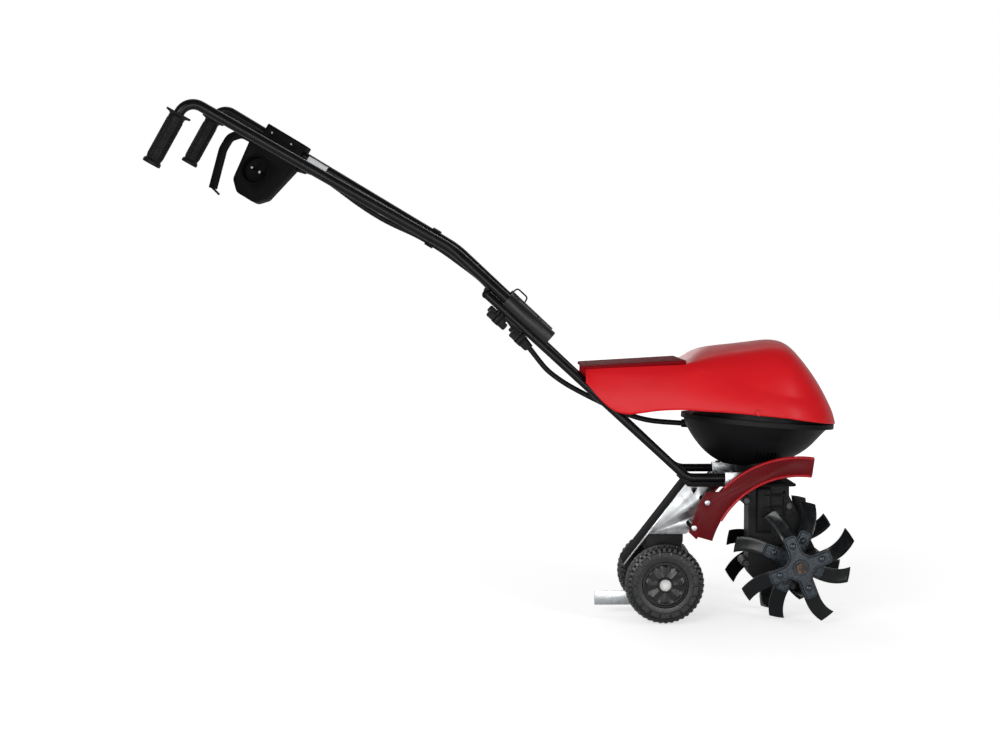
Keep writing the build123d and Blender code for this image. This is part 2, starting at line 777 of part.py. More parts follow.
def motor_base():
    bowl = bowl_solid(0) - bowl_solid(bowl_wall)
    bowl += bowl_ring(bowl_lip, bowl_lip, -bowl_lip_h, bowl_wall, bowl_lip + bowl_wall + 1)
    bowl += bowl_ring(1, 1, 1, bowl_wall - 0.5, bowl_collar_end_in + 3 * bowl_wall)
    bowl += bowl_ring(-bowl_collar_end_in, -bowl_collar_in, 2, bowl_collar_h, bowl_wall)
    bowl = bowl_place() * bowl
    bosses = rod_y(bonnet_boss_r, -bonnet_half_w, bonnet_half_w, bonnet_screw_x, bonnet_screw_z)
    bosses -= rod_y(2 * bonnet_boss_r, boss_in_y, -boss_in_y, bonnet_screw_x, bonnet_screw_z)
    bowl += bosses & bonnet_body(bonnet_wall + seat_gap, 30)
    bowl -= rod_y(bonnet_screw_r, -bonnet_half_w, bonnet_half_w, bonnet_screw_x, bonnet_screw_z)
    bowl += rod_z(neck_r, plate_top_z, housing_floor_z, -gear_distance, 0)
    bowl -= rod_z(neck_r - neck_wall, plate_top_z - 1, housing_floor_z + 1, -gear_distance, 0)
    first_x = -gear_distance - vent_pitch * (vent_count - 1) / 2
    for side in (-1, 1):
        y_low, y_high = sorted((side * (neck_r + 4), side * bowl_half_w))
        for k in range(vent_count):
            x = first_x + k * vent_pitch
            bowl -= block(x - vent_w / 2, x + vent_w / 2, y_low, y_high, vent_low_z, vent_low_z + vent_h)
    bowl -= cable_hole(*cable_lower_points()[:-3:-1])
    node("motor_base", bowl)


# Bonnet: its side outline, its plan and its cross-section, cut out of each other

def bonnet_body(inset, drop):
    """The outside of the bonnet, or its inside when inset by the wall and dropped past its lower edge."""
    tail_x = bonnet_tail_x - drop
    tail_z = bonnet_tail_z - inset
    top = Spline((bonnet_hump_x, bonnet_hump_z - inset), (bonnet_hump_x + 40, bonnet_hump_z + 18 - inset),
                 (bonnet_top_x - 60, bonnet_top_z - 5 - inset), (bonnet_top_x, bonnet_top_z - inset),
                 (bonnet_top_x + 42 - inset / 2, bonnet_top_z - 9 - inset),
                 (bonnet_front_x - 64 - inset, bonnet_top_z - 34 - inset / 2),
                 (bonnet_front_x - 35 - inset, bonnet_front_z + 82), (bonnet_front_x - 13 - inset, bonnet_front_z + 38),
                 (bonnet_front_x - inset, bonnet_front_z - drop))
    lower = Polyline((bonnet_front_x - inset, bonnet_front_z - drop), (-23, bonnet_side_z - 12 - drop),
                     (-147, bonnet_side_z - drop), (-235, bonnet_side_z + 4 - drop),
                     (-275, bonnet_side_z + 2 - drop), (-306, bonnet_side_z - 5 - drop),
                     (-331, bonnet_side_z - 6 - drop), (-362, bonnet_side_z + 10 - drop),
                     (tail_x, bonnet_side_z + 54 - 2 * drop), (tail_x, tail_z), (bonnet_hump_x, bonnet_hump_z - inset))
    side = extrude(Plane.XZ * make_face([top, lower]), amount=2 * bonnet_half_w, both=True)
    half = bonnet_half_w - inset
    edge = Spline((tail_x, bonnet_tail_half - inset), (-300, half - 8), (-190, half - 1), (-80, half),
                  (0, half - 8), (50, half - 34), (bonnet_front_x - 9 - inset, half - 74),
                  (bonnet_front_x + 1 - inset, 0), tangents=[(1, 0.1), (0, -1)])
    far_edge = mirror(edge, about=Plane.XZ)
    closing = Line((tail_x, bonnet_tail_half - inset), (tail_x, inset - bonnet_tail_half))
    plan = extrude(make_face([edge, far_edge, closing]), amount=2 * bonnet_top_z)
    shoulder = bonnet_shoulder_half - inset
    top_z = bonnet_top_z + 3 - inset
    flank = Spline((half + 5, 300), (half - 1, 400), (half - 14, 445), (shoulder, bonnet_tail_z),
                   (shoulder - 14, bonnet_tail_z + 24), (shoulder - 42, top_z - 6), (0, top_z),
                   tangents=[(-0.02, 1), (-1, 0)])
    far_flank = mirror(flank, about=Plane.YZ)
    floor = Line((half + 5, 300), (-half - 5, 300))
    section_place = Plane(origin=(2 * bonnet_tail_x, 0, 0), x_dir=(0, 1, 0), z_dir=(1, 0, 0))
    section = extrude(section_place * make_face([flank, far_flank, floor]), amount=-4 * bonnet_tail_x)
    return side & plan & section


def bonnet():
    shell = bonnet_body(0, 0) - bonnet_body(bonnet_wall, 30)
    screws = []
    for side in (-1, 1):
        start = side * (bowl_half_w - bowl_collar_in - 10)
        face = side * bonnet_half_w
        shank = rod_y(bonnet_screw_r, *sorted((start, face)), bonnet_screw_x, bonnet_screw_z)
        head = rod_y(bonnet_screw_r + 3, *sorted((face, face + side * 3)), bonnet_screw_x, bonnet_screw_z)
        shell -= shank
        screws.append(shank + head)
    node("bonnet", shell)
    return screws


# Mudguard

guard_stay_out = guard_r + guard_stay_r + free_gap


def guard_point(radius, deg):
    return radius * cos(radians(deg)), tine_shaft_z + radius * sin(radians(deg))


def sector(start_deg, end_deg):
    reach = 2 * guard_r
    count = 6
    rim = []
    for k in range(count + 1):
        angle = radians(start_deg + (end_deg - start_deg) * k / count)
        rim.append((reach * cos(angle), reach * sin(angle)))
    return polygon((0, 0), *rim)


def mudguard():
    centre = Pos(0, tine_shaft_z)
    sheet = (Circle(guard_r) - Circle(guard_r - guard_wall)) & sector(guard_front_deg, guard_rear_deg)
    back = (Circle(guard_r) - Circle(guard_r - guard_wall)) & sector(guard_back_deg, guard_rear_deg)
    skirt = (Circle(guard_r) - Circle(guard_r - guard_skirt)) & sector(guard_front_deg, guard_rear_deg)
    ear = polygon(*[guard_point(guard_r + out, deg) for out, deg in guard_ear])
    guard = plate_xz(centre * back, -guard_half, guard_half)
    screws = []
    for side in (-1, 1):
        guard += plate_xz(centre * sheet, *sorted((side * (guard_half - guard_strip), side * guard_half)))
        wall = sorted((side * (guard_half - guard_wall), side * guard_half))
        guard += plate_xz(centre * skirt, *wall) + plate_xz(ear, *wall)
        inside = side * (guard_half - guard_screw_length)
        face = side * guard_half
        head_end = side * (guard_half + guard_screw_r)
        for deg in guard_stay_degs:
            x, z = guard_point(guard_stay_out, deg)
            guard -= rod_y(guard_screw_r + seat_gap, *sorted((inside, head_end)), x, z)
            shank = rod_y(guard_screw_r, *sorted((inside, face)), x, z)
            screws.append(shank + rod_y(guard_screw_r + 2, *sorted((face, head_end)), x, z))
    node("mudguard", guard)
    return screws


# Wheels, axle and bracket

wheel_x = -wheel_back
axle_half = wheel_track / 2 + wheel_w / 2 + 4


def wheel(side):
    name = side_name(side)
    middle = side * wheel_track / 2
    flat = wheel_w / 2 - tyre_shoulder
    profile = [(tyre_inner_r, -flat), (wheel_r - tyre_shoulder, -wheel_w / 2), (wheel_r, -flat),
               (wheel_r, flat), (wheel_r - tyre_shoulder, wheel_w / 2), (tyre_inner_r, flat)]
    place = Plane(origin=(wheel_x, middle, wheel_r), x_dir=(1, 0, 0), z_dir=(0, 1, 0))
    tyre = revolve(Plane.XZ * make_face(Polyline(*profile, close=True)), axis=Axis.Z)
    node("tyre_" + name, place * tyre)
    hub = Cylinder(tyre_inner_r, hub_web) + Cylinder(hub_boss_r, hub_boss_w)
    hub += Cylinder(tyre_inner_r, 2 * flat) - Cylinder(tyre_inner_r - bracket_t, 2 * flat)
    node("wheel_hub_" + name, place * (hub - Cylinder(axle_r + running_gap, 2 * wheel_w)))


def web_front_x(z):
    """Where the front face of the bracket's sloping web lies at a height."""
    run = bracket_low_x - bracket_top_x
    fall = case_top_z - bracket_low_z
    return bracket_top_x + run * (case_top_z - z) / fall + bracket_t * sqrt(run ** 2 + fall ** 2) / fall


def wheel_bracket():
    plate = polygon((bracket_top_x, case_top_z), (bracket_top_front_x, case_top_z), (-173, 222), (-186, 178),
                    (-203, carrier_top_z), (-276, carrier_top_z))
    plate -= polygon((-194, 253), (-181, 253), (-189, 240))
    slope = Vector(bracket_low_x - bracket_top_x, bracket_low_z - case_top_z).normalized()
    across = Vector(-slope.Y, slope.X)
    corner = Vector(bracket_top_x, case_top_z)
    foot = Vector(bracket_low_x, bracket_low_z)
    rear = [corner, foot, foot + across * bracket_t, corner + across * bracket_t]
    web = polygon(*[(p.X, p.Y) for p in rear]) - polygon((-400, case_top_z), (0, case_top_z), (0, 400), (-400, 400))
    bracket = plate_xz(web, -bracket_half, bracket_half)
    for side in (-1, 1):
        bracket += plate_xz(plate, *sorted((side * (bracket_half - bracket_t), side * bracket_half)))
    bracket += block(bracket_top_x, bracket_top_front_x, -bracket_half, bracket_half,
                     case_top_z - bracket_t, case_top_z)
    bracket -= rod_y(guard_r + free_gap, -guard_half, guard_half, 0, tine_shaft_z)
    reach = guard_half - guard_wall
    for deg in guard_stay_degs:
        x, z = guard_point(guard_stay_out, deg)
        stay = rod_y(guard_stay_r, -reach, reach, x, z)
        for side in (-1, 1):
            stay -= rod_y(guard_screw_r + seat_gap, *sorted((side * (reach - 10), side * (reach + 1))), x, z)
        bracket += stay
    node("wheel_bracket", bracket)
    front_x = -208
    carrier = polygon((web_front_x(carrier_top_z + 12), carrier_top_z + 12), (front_x, carrier_top_z + 12),
                      (front_x, carrier_top_z - 14), (wheel_x + carrier_boss_r, wheel_r),
                      (wheel_x, wheel_r - carrier_boss_r), (wheel_x - carrier_boss_r, wheel_r),
                      (web_front_x(carrier_top_z - 10), carrier_top_z - 10))
    carrier = plate_xz(carrier, -carrier_half, carrier_half)
    node("axle_carrier", carrier - rod_y(axle_r, -2 * carrier_half, 2 * carrier_half, wheel_x, wheel_r)
         - spur_solid(seat_gap))
    node("foot_spur", spur_solid(0) - rod_y(axle_r, -carrier_half, carrier_half, wheel_x, wheel_r))
    node("wheel_axle", rod_y(axle_r, -axle_half, axle_half, wheel_x, wheel_r))
    caps = []
    for side in (-1, 1):
        face = wheel_track / 2 + hub_boss_w / 2 + free_gap
        outer = rod_y(axle_cap_r, *sorted((side * face, side * (axle_half + 2))), wheel_x, wheel_r)
        caps.append(outer - rod_y(axle_r, *sorted((side * (face - 1), side * axle_half)), wheel_x, wheel_r))
    node("axle_caps", *caps)


def spur_solid(grow):
    """A flat bar on edge, from the axle to behind the wheels."""
    outline = polygon((spur_end_x, spur_low_z), (-300, spur_low_z), (wheel_x + 12, wheel_r - 14),
                      (wheel_x + 12, wheel_r + 13), (wheel_x - 14, wheel_r + 13), (-306, spur_low_z + spur_h),
                      (spur_end_x, spur_low_z + spur_h))
    return plate_xz(outline, -spur_t / 2 - grow, spur_t / 2 + grow)


# Switch box: its own place has X down the left bar, Y square to the bar and Z inwards

def switch_place():
    high = grip_point(1, 0, 0)
    down = (frame_point(1, bar_bend_run, bar_lift) - high).normalized()
    inward = Vector(0, -1, 0)
    inward = (inward - down * inward.dot(down)).normalized()
    return Plane(origin=high + down * switch_along, x_dir=down, z_dir=inward)


def box_outline(inset):
    """The box's outline beside the bar: square at the top, tapered, with a round foot."""
    outline = polygon((-55, clamp_bottom), (58, clamp_bottom), (57, -28), (38, -112), (20, -131), (-22, -131),
                      (-43, -112), (-54, -30))
    outline = fillet(outline.vertices().sort_by(Axis.Y)[0:4], 16)
    return offset(outline, amount=-inset) if inset else outline


def lever_lug():
    """The rounded ear of the box that the lever turns in."""
    u, v = lever_pivot
    half = lever_w / 2
    return Pos(u, v) * Circle(half) + Pos(u + half, v) * Rectangle(2 * half, 2 * half)


def slab(sketch, low, high):
    return extrude(Pos(0, 0, low) * sketch, amount=high - low, dir=(0, 0, 1))


def drafted_box(inset, low, high):
    """The box with its sides drawn in towards its outer face."""
    full = box_outline(inset)
    shoulder = low + box_draft_depth
    outer = loft([Pos(0, 0, low) * box_outline(inset + box_draft), Pos(0, 0, shoulder) * full])
    return outer + slab(full, shoulder, high)


def lever_outline():
    """A strap that hangs from the pivot behind the box, and a short arm that presses the switch."""
    u, v = lever_pivot
    spine = [(u, v), (u - 24, v - 1), (u - 42, v - 20), (u - 42, v - 48), (u - 18, v - 126)]
    strap = trace(FilletPolyline(*spine, radius=[20, 20, 30]), line_width=lever_w)
    foot = trace(Line((u - 26, v - 124), (u, v - 130)), line_width=lever_foot)
    arm = trace(Line((u, v), (u + 21, v - 4)), line_width=lever_w / 2)
    return strap + foot + arm + Pos(u, v) * Circle(lever_w / 2)


def switch():
    place = switch_place()
    pivot = Pos(*lever_pivot)
    inlet = Pos(inlet_along, inlet_down)
    recess_floor = switch_half - inlet_depth
    shell = drafted_box(0, -switch_half, switch_half)
    shell -= drafted_box(switch_wall, -switch_half + switch_wall, switch_half - switch_wall)
    shell += slab(lever_lug(), -switch_half + switch_wall, switch_half - switch_wall)
    shell -= slab(pivot * Circle(lever_pin_r), -switch_half, switch_half)
    u, v = lever_pivot
    slot = Pos(u + 2, v - 8) * Rectangle(3 * lever_w, 2 * lever_w + 10)
    shell -= slab(slot & Pos(0, -200 - 12) * Rectangle(400, 400), -lever_slot / 2, lever_slot / 2)
    shell += slab(inlet * Circle(inlet_r + switch_wall), recess_floor - switch_wall, switch_half)
    shell -= slab(inlet * Circle(inlet_r), recess_floor, switch_half + 1)
    pins = []
    for way in (-1, 1):
        pin_at = Pos(inlet_along + way * inlet_pitch / 2, inlet_down)
        stub = slab(pin_at * Circle(inlet_pin_r - 0.5), recess_floor - switch_wall, recess_floor)
        shell -= stub
        pins.append(stub + slab(pin_at * Circle(inlet_pin_r), recess_floor, recess_floor + inlet_pin_length))
    shell -= Pos(*button_at, -switch_half) * Cylinder(button_r + running_gap, 3 * switch_wall)
    shell -= place.to_local_coords(cable_hole(*cable_upper_points(place)[:2]))
    inner_half = split(shell, bisect_by=Plane.XY, keep=Keep.TOP)
    outer_half = split(shell, bisect_by=Plane.XY, keep=Keep.BOTTOM)
    pillar = slab(Pos(*block_at) * Rectangle(12, block_h - 2), -switch_half + 1, block_low)
    node("switch_box", place * inner_half)
    node("switch_cover", place * (outer_half + pillar))
    node("switch_block", place * slab(Pos(*block_at) * Rectangle(block_l, block_h), block_low, 1))
    node("inlet_pins", *[place * pin for pin in pins])
    lever = lever_outline() + pivot * Circle(lever_w / 2)
    lever = slab(lever - pivot * Circle(lever_pin_r + running_gap), -lever_t / 2, lever_t / 2)
    node("switch_lever", place * lever)
    node("lever_pin", place * slab(pivot * Circle(lever_pin_r), -switch_half + 2, switch_half - 2))
    button = slab(Pos(*button_at) * Circle(button_r), -switch_half - button_proud, -switch_half + 10)
    flange_low = -switch_half + switch_wall + free_gap
    button += slab(Pos(*button_at) * Circle(button_flange_r), flange_low, flange_low + button_flange_t)
    node("lock_button", place * button)
    clamp = slab(Pos((clamp_low + clamp_high) / 2, (clamp_top + clamp_bottom) / 2)
                 * Rectangle(clamp_high - clamp_low, clamp_top - clamp_bottom), -clamp_half, clamp_half)
    clamp = fillet(clamp.edges().filter_by(Axis.X), 4)
    clamp -= Rot(0, 90, 0) * Cylinder(bar_r + seat_gap, 400)
    screws = []
    screw_end = bar_r + free_gap
    for u, v in clamp_screws:
        clamp -= slab(Pos(u, v) * Circle(small_screw_r), screw_end, clamp_half + 1)
        screws.append(slab(Pos(u, v) * Circle(small_screw_r), screw_end, clamp_half)
                      + slab(Pos(u, v) * Circle(small_screw_r + 1.5), clamp_half, clamp_half + small_screw_h))
    node("switch_bracket", place * clamp)
    for u, v in box_screws:
        head = slab(Pos(u, v) * Circle(small_screw_r), -switch_half - small_screw_h, -switch_half)
        screws.append(head)
    node("switch_screws", *[place * screw for screw in screws])
    return place


# Motor cable: held by the box, the clip, the joint and the motor base

def cable(points):
    """A round cable whose arcs are as large as its runs allow."""
    points = [Vector(p) for p in points]
    radii = []
    for before, here, after in zip(points, points[1:], points[2:]):
        first = here - before
        second = after - here
        half_turn = radians(first.get_angle(second)) / 2
        radii.append(0.45 * min(first.length, second.length) / tan(half_turn))
    return swept_rod(points, radii, cable_r)


def cable_upper_points(place):
    beside_bar = [(30, -32), (88, -17.5), (118, -17.5), (158, -21), (200, -25), (242, -26.5), (282, -25)]
    points = [place.from_local_coords(Vector(u, v, 0)) for u, v in beside_bar]
    points.append(clip_point(place, -30))
    points.append(clip_point(place, 30))
    beside_frame = [(66, 3, 4), (31, 7, 13), (-4, 5, 20), (-39, -8, 25), (-74, -16, 32), (-104, -21, 32)]
    return points + [frame_point(1, frame_run + more, lift, inward) for more, lift, inward in beside_frame]


def clip_point(place, further):
    """The cable's place in the clip under the left bar, or further down the bar."""
    along = (frame_point(1, bar_bend_run, bar_lift) - place.origin).length - clip_run
    return place.from_local_coords(Vector(along + further, -bar_r - cable_r - clip_wall, 0))


def cable_lower_points():
    start = [frame_point(1, frame_run - 134, -26, 32), frame_point(1, frame_run - 164, -31, 32)]
    rest = [(-463, 62, 470), (-432, 61, 447), (-398, 60, 428), (-360, 57, 409), (-322, 54, 391),
            (-284, 50, 377), (-242, 46, 370), (-172, 45, 367)]
    return start + [Vector(p) for p in rest]


def cable_hole(end, before):
    way = (before - end).normalized()
    return rod_between(cable_r + seat_gap, end - way * 20, end + way * 60)


def grommet(end, before, depth):
    """A sleeve round a cable's end, from inside the wall to a length outside it."""
    way = (before - end).normalized()
    return rod_between(grommet_r, end, end + way * (depth + grommet_length))


def cables(place):
    upper = cable_upper_points(place)
    lower = cable_lower_points()
    node("motor_cable_upper", cable(upper))
    node("motor_cable_lower", cable(lower))
    box_grommet = grommet(upper[0], upper[1], box_grommet_depth)
    box_grommet -= place * slab(box_outline(0), -switch_half, switch_half)
    box_grommet -= cable_hole(upper[0], upper[1])
    bowl_grommet = grommet(lower[-1], lower[-2], bowl_grommet_depth)
    bowl_grommet -= bowl_place() * bowl_solid(0)
    bowl_grommet -= cable_hole(lower[-1], lower[-2])
    node("cable_fittings", box_grommet, bowl_grommet, rod_between(grommet_r, upper[-1], lower[0]))
    down = place.x_dir
    at = clip_point(place, 0)
    bar_at = at + place.y_dir * (bar_r + cable_r + clip_wall)
    clip = rod_between(bar_r + clip_wall, bar_at - down * clip_w / 2, bar_at + down * clip_w / 2)
    clip += rod_between(cable_r + clip_wall, at - down * clip_w / 2, at + down * clip_w / 2)
    clip -= rod_between(bar_r + seat_gap, bar_at - down * clip_w, bar_at + down * clip_w)
    clip -= rod_between(cable_r + seat_gap, at - down * clip_w, at + down * clip_w)
    node("cable_clip", clip)


tines()
worm_wheel()
worm_shaft()
case_bolts = gear_case()
motor()
handle()
node("hex_bolts", *case_bolts, *chassis())
motor_base()
cover_screws = bonnet() + mudguard()
node("cover_screws", *cover_screws)
for wheel_side in (-1, 1):
    wheel(wheel_side)
wheel_bracket()
switch_plane = switch()
cables(switch_plane)

# The origin lies on the ground under the middle of the whole machine

box = Compound(list(NODES.values())).bounding_box()
home = Pos(-(box.min.X + box.max.X) / 2, -(box.min.Y + box.max.Y) / 2, -box.min.Z)
os.makedirs("parts", exist_ok=True)
for name, shape in NODES.items():
    export_step(home * shape, "parts/" + name + ".step")
print("box", box.min, box.max)
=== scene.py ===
"""Looks of an electric tiller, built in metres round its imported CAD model."""

import json
from math import atan2, cos, hypot, pi, radians, sin, sqrt

import bmesh
import bpy
from mathutils import Matrix, Vector


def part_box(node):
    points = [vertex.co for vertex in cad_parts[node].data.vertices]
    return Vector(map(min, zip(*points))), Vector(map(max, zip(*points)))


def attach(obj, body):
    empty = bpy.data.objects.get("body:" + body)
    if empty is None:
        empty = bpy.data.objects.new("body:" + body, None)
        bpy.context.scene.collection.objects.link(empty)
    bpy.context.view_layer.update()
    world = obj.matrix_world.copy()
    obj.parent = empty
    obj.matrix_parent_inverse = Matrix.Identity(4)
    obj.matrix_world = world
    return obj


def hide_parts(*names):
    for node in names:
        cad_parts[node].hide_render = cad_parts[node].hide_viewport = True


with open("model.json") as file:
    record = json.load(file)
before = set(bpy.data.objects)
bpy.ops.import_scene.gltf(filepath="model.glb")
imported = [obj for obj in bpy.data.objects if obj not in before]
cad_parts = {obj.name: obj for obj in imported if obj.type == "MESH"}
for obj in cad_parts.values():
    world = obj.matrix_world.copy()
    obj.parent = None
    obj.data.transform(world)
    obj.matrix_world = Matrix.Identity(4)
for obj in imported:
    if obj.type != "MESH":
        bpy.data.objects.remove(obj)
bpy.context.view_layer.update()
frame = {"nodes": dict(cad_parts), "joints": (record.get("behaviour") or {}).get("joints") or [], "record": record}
joint_at = {j["name"]: Vector(j["pos_m"]) for j in frame["joints"] if "pos_m" in j}

# Sizes below are in millimetres unless a line says otherwise, and meshes are in metres
MM = 0.001
SHAFT = joint_at["tine_spin"]
SIDES = {"right": -1, "left": 1}


# Materials

class Finish:
    """A procedural material: the shader's own sockets hold what is the same all over."""

    def __init__(self, name, colour, roughness, metallic=0.0, shine=0.5):
        self.material = bpy.data.materials.new(name)
        self.material.use_nodes = True
        self.nodes = self.material.node_tree.nodes
        self.links = self.material.node_tree.links
        self.shader = self.nodes["Principled BSDF"]
        self.place = self.nodes.new("ShaderNodeTexCoord").outputs["Object"]
        self.colour = colour
        values = {"Base Color": (*colour, 1), "Roughness": roughness, "Metallic": metallic,
                  "Specular IOR Level": shine}
        for socket, value in values.items():
            self.shader.inputs[socket].default_value = value

    def noise(self, scale, detail, stretch=(1, 1, 1)):
        """Cloudy noise, with its scale in clouds a metre."""
        mapping = self.nodes.new("ShaderNodeMapping")
        mapping.inputs["Scale"].default_value = stretch
        self.links.new(self.place, mapping.inputs["Vector"])
        texture = self.nodes.new("ShaderNodeTexNoise")
        texture.inputs["Scale"].default_value = scale
        texture.inputs["Detail"].default_value = detail
        self.links.new(mapping.outputs["Vector"], texture.inputs["Vector"])
        return texture.outputs["Fac"]

    def cells(self, scale, output="Distance"):
        """A grain of cells, with its scale in cells a metre."""
        texture = self.nodes.new("ShaderNodeTexVoronoi")
        texture.inputs["Scale"].default_value = scale
        self.links.new(self.place, texture.inputs["Vector"])
        return texture.outputs[output]

    def tint(self, fac, other, start=0.3, end=0.7):
        """The base colour drifts from the main one to another."""
        mix = self.nodes.new("ShaderNodeMix")
        mix.data_type = "RGBA"
        mix.inputs["A"].default_value = (*self.colour, 1)
        mix.inputs["B"].default_value = (*other, 1)
        self.links.new(ranged(self.nodes, self.links, fac, start, end, 0, 1), mix.inputs["Factor"])
        self.links.new(mix.outputs["Result"], self.shader.inputs["Base Color"])
        return self

    def rough(self, fac, low, high, start=0.3, end=0.7):
        """The roughness drifts between two numbers."""
        drift = ranged(self.nodes, self.links, fac, start, end, low, high)
        self.links.new(drift, self.shader.inputs["Roughness"])
        return self

    def bump(self, fac, height, strength):
        """Fine relief, with its height in metres."""
        node = self.nodes.new("ShaderNodeBump")
        node.inputs["Distance"].default_value = height
        node.inputs["Strength"].default_value = strength
        self.links.new(fac, node.inputs["Height"])
        self.links.new(node.outputs["Normal"], self.shader.inputs["Normal"])
        return self


def ranged(nodes, links, value, start, end, low, high):
    """A value between start and end, spread from low to high."""
    node = nodes.new("ShaderNodeMapRange")
    numbers = {"From Min": start, "From Max": end, "To Min": low, "To Max": high}
    for socket, number in numbers.items():
        node.inputs[socket].default_value = number
    links.new(value, node.inputs["Value"])
    return node.outputs["Result"]


def red_moulding():
    """Satin red plastic with faint flow marks and a very fine skin."""
    finish = Finish("red_moulding", (0.58, 0.007, 0.012), roughness=0.36, shine=0.2)
    finish.tint(finish.noise(5, detail=2, stretch=(1, 1, 3)), (0.64, 0.009, 0.014))
    finish.rough(finish.noise(30, detail=4), 0.32, 0.42)
    return finish.bump(finish.noise(900, detail=2), height=0.00004, strength=0.5).material


def deck_painted_shade():
    """The bonnet's red, darker on the tail's deck as a painted shade, matt from its grain."""
    finish = Finish("deck_painted_shade", (0.165, 0.003, 0.006), roughness=0.7, shine=0.04)
    finish.tint(finish.noise(9, detail=3, stretch=(1, 2, 1)), (0.20, 0.004, 0.008))
    finish.rough(finish.noise(60, detail=4), 0.66, 0.78)
    return finish.bump(finish.cells(700), height=0.0001, strength=0.5).material


def red_paint():
    """Dark red paint on the mudguard, with dust and scuffs."""
    finish = Finish("red_paint", (0.085, 0.002, 0.004), roughness=0.32, shine=0.1)
    finish.tint(finish.noise(14, detail=5), (0.115, 0.0025, 0.005))
    finish.rough(finish.noise(60, detail=6), 0.26, 0.44)
    return finish.bump(finish.noise(420, detail=3), height=0.00008, strength=0.5).material


def bead_painted_highlight():
    """The same red, painted brighter on the rolled edges as a painted highlight."""
    finish = Finish("bead_painted_highlight", (0.31, 0.004, 0.008), roughness=0.24, shine=0.3)
    finish.tint(finish.noise(20, detail=5), (0.37, 0.005, 0.010))
    return finish.rough(finish.noise(60, detail=4), 0.2, 0.34).material


def black_paint():
    """Half-gloss black on the tubes."""
    finish = Finish("black_paint", (0.003, 0.003, 0.0035), roughness=0.28, shine=0.2)
    finish.tint(finish.noise(40, detail=4), (0.006, 0.006, 0.0065))
    finish.rough(finish.noise(90, detail=5), 0.24, 0.34)
    return finish.bump(finish.noise(120, detail=2), height=0.00003, strength=0.3).material


def black_moulding():
    """Fine-grained black plastic."""
    finish = Finish("black_moulding", (0.004, 0.004, 0.0045), roughness=0.36, shine=0.12)
    finish.tint(finish.noise(25, detail=4), (0.007, 0.007, 0.008))
    finish.rough(finish.noise(200, detail=3), 0.34, 0.48)
    return finish.bump(finish.cells(1500), height=0.00003, strength=0.5).material


def switch_moulding():
    """Deep black plastic of the switch, hardly shiny."""
    finish = Finish("switch_moulding", (0.003, 0.003, 0.0036), roughness=0.5, shine=0.05)
    finish.tint(finish.noise(25, detail=4), (0.0048, 0.0048, 0.0055))
    finish.rough(finish.noise(200, detail=3), 0.44, 0.58)
    return finish.bump(finish.cells(900), height=0.00002, strength=0.4).material


def satin_black():
    """Powder-coated sleeves with a broad soft sheen."""
    finish = Finish("satin_black", (0.008, 0.008, 0.009), roughness=0.42, shine=0.4)
    finish.tint(finish.noise(30, detail=4), (0.011, 0.011, 0.0122))
    return finish.rough(finish.noise(60, detail=3), 0.38, 0.46).material


def grip_rubber():
    """Soft black rubber of the grips."""
    finish = Finish("grip_rubber", (0.004, 0.004, 0.0045), roughness=0.44, shine=0.16)
    finish.tint(finish.noise(60, detail=4), (0.008, 0.008, 0.009))
    finish.rough(finish.noise(150, detail=4), 0.42, 0.6)
    return finish.bump(finish.noise(1400, detail=2), height=0.00008, strength=0.6).material


def cable_rubber():
    """Black sheath of the cable."""
    finish = Finish("cable_rubber", (0.004, 0.004, 0.0045), roughness=0.4, shine=0.16)
    finish.tint(finish.noise(90, detail=4), (0.010, 0.010, 0.011))
    return finish.rough(finish.noise(300, detail=3), 0.38, 0.54).material


def wheel_moulding():
    """Dark grey plastic of the wheels, dusty and slightly uneven."""
    finish = Finish("wheel_moulding", (0.006, 0.006, 0.0068), roughness=0.26, shine=0.5)
    finish.tint(finish.noise(35, detail=6), (0.013, 0.013, 0.014))
    finish.rough(finish.noise(120, detail=5), 0.22, 0.36)
    return finish.bump(finish.noise(90, detail=3), height=0.00008, strength=0.3).material


def galvanised():
    """Zinc-coated sheet with the soft spangle of hot dipping."""
    finish = Finish("galvanised", (0.36, 0.372, 0.38), roughness=0.36, metallic=1.0)
    finish.tint(finish.noise(24, detail=4), (0.64, 0.66, 0.67), start=0.34, end=0.64)
    finish.rough(finish.cells(160, "Color"), 0.24, 0.46, start=0.0, end=1.0)
    return finish.bump(finish.noise(40, detail=3), height=0.0005, strength=0.4).material


def zinc():
    """Bright zinc plate."""
    finish = Finish("zinc_plate", (0.58, 0.61, 0.62), roughness=0.3, metallic=1.0)
    finish.tint(finish.noise(180, detail=4), (0.44, 0.46, 0.47))
    return finish.rough(finish.noise(500, detail=3), 0.24, 0.4).material


def matt_black_and_painted_shade():
    """Dull black: the chassis plate's coating, and painted shade on the back faces of the bracket."""
    finish = Finish("matt_black_and_painted_shade", (0.006, 0.006, 0.0065), roughness=0.85, shine=0.06)
    finish.tint(finish.noise(60, detail=5), (0.011, 0.011, 0.012))
    return finish.rough(finish.noise(200, detail=4), 0.78, 0.92).material


def screw_steel():
    """Dull steel of small screws and pins."""
    finish = Finish("screw_steel", (0.20, 0.20, 0.21), roughness=0.34, metallic=1.0)
    finish.tint(finish.noise(300, detail=4), (0.28, 0.28, 0.29))
    return finish.rough(finish.noise(500, detail=3), 0.26, 0.42).material


def dark_zinc():
    """Blackened fasteners."""
    finish = Finish("dark_zinc", (0.030, 0.030, 0.032), roughness=0.34, metallic=0.7)
    finish.tint(finish.noise(160, detail=5), (0.055, 0.055, 0.058))
    return finish.rough(finish.noise(300, detail=4), 0.26, 0.46).material


def cap_white():
    """Off-white plastic of the axle caps."""
    finish = Finish("cap_white", (0.72, 0.72, 0.70), roughness=0.34, shine=0.3)
    finish.tint(finish.noise(200, detail=4), (0.64, 0.64, 0.62))
    return finish.bump(finish.noise(800, detail=2), height=0.00004, strength=0.5).material


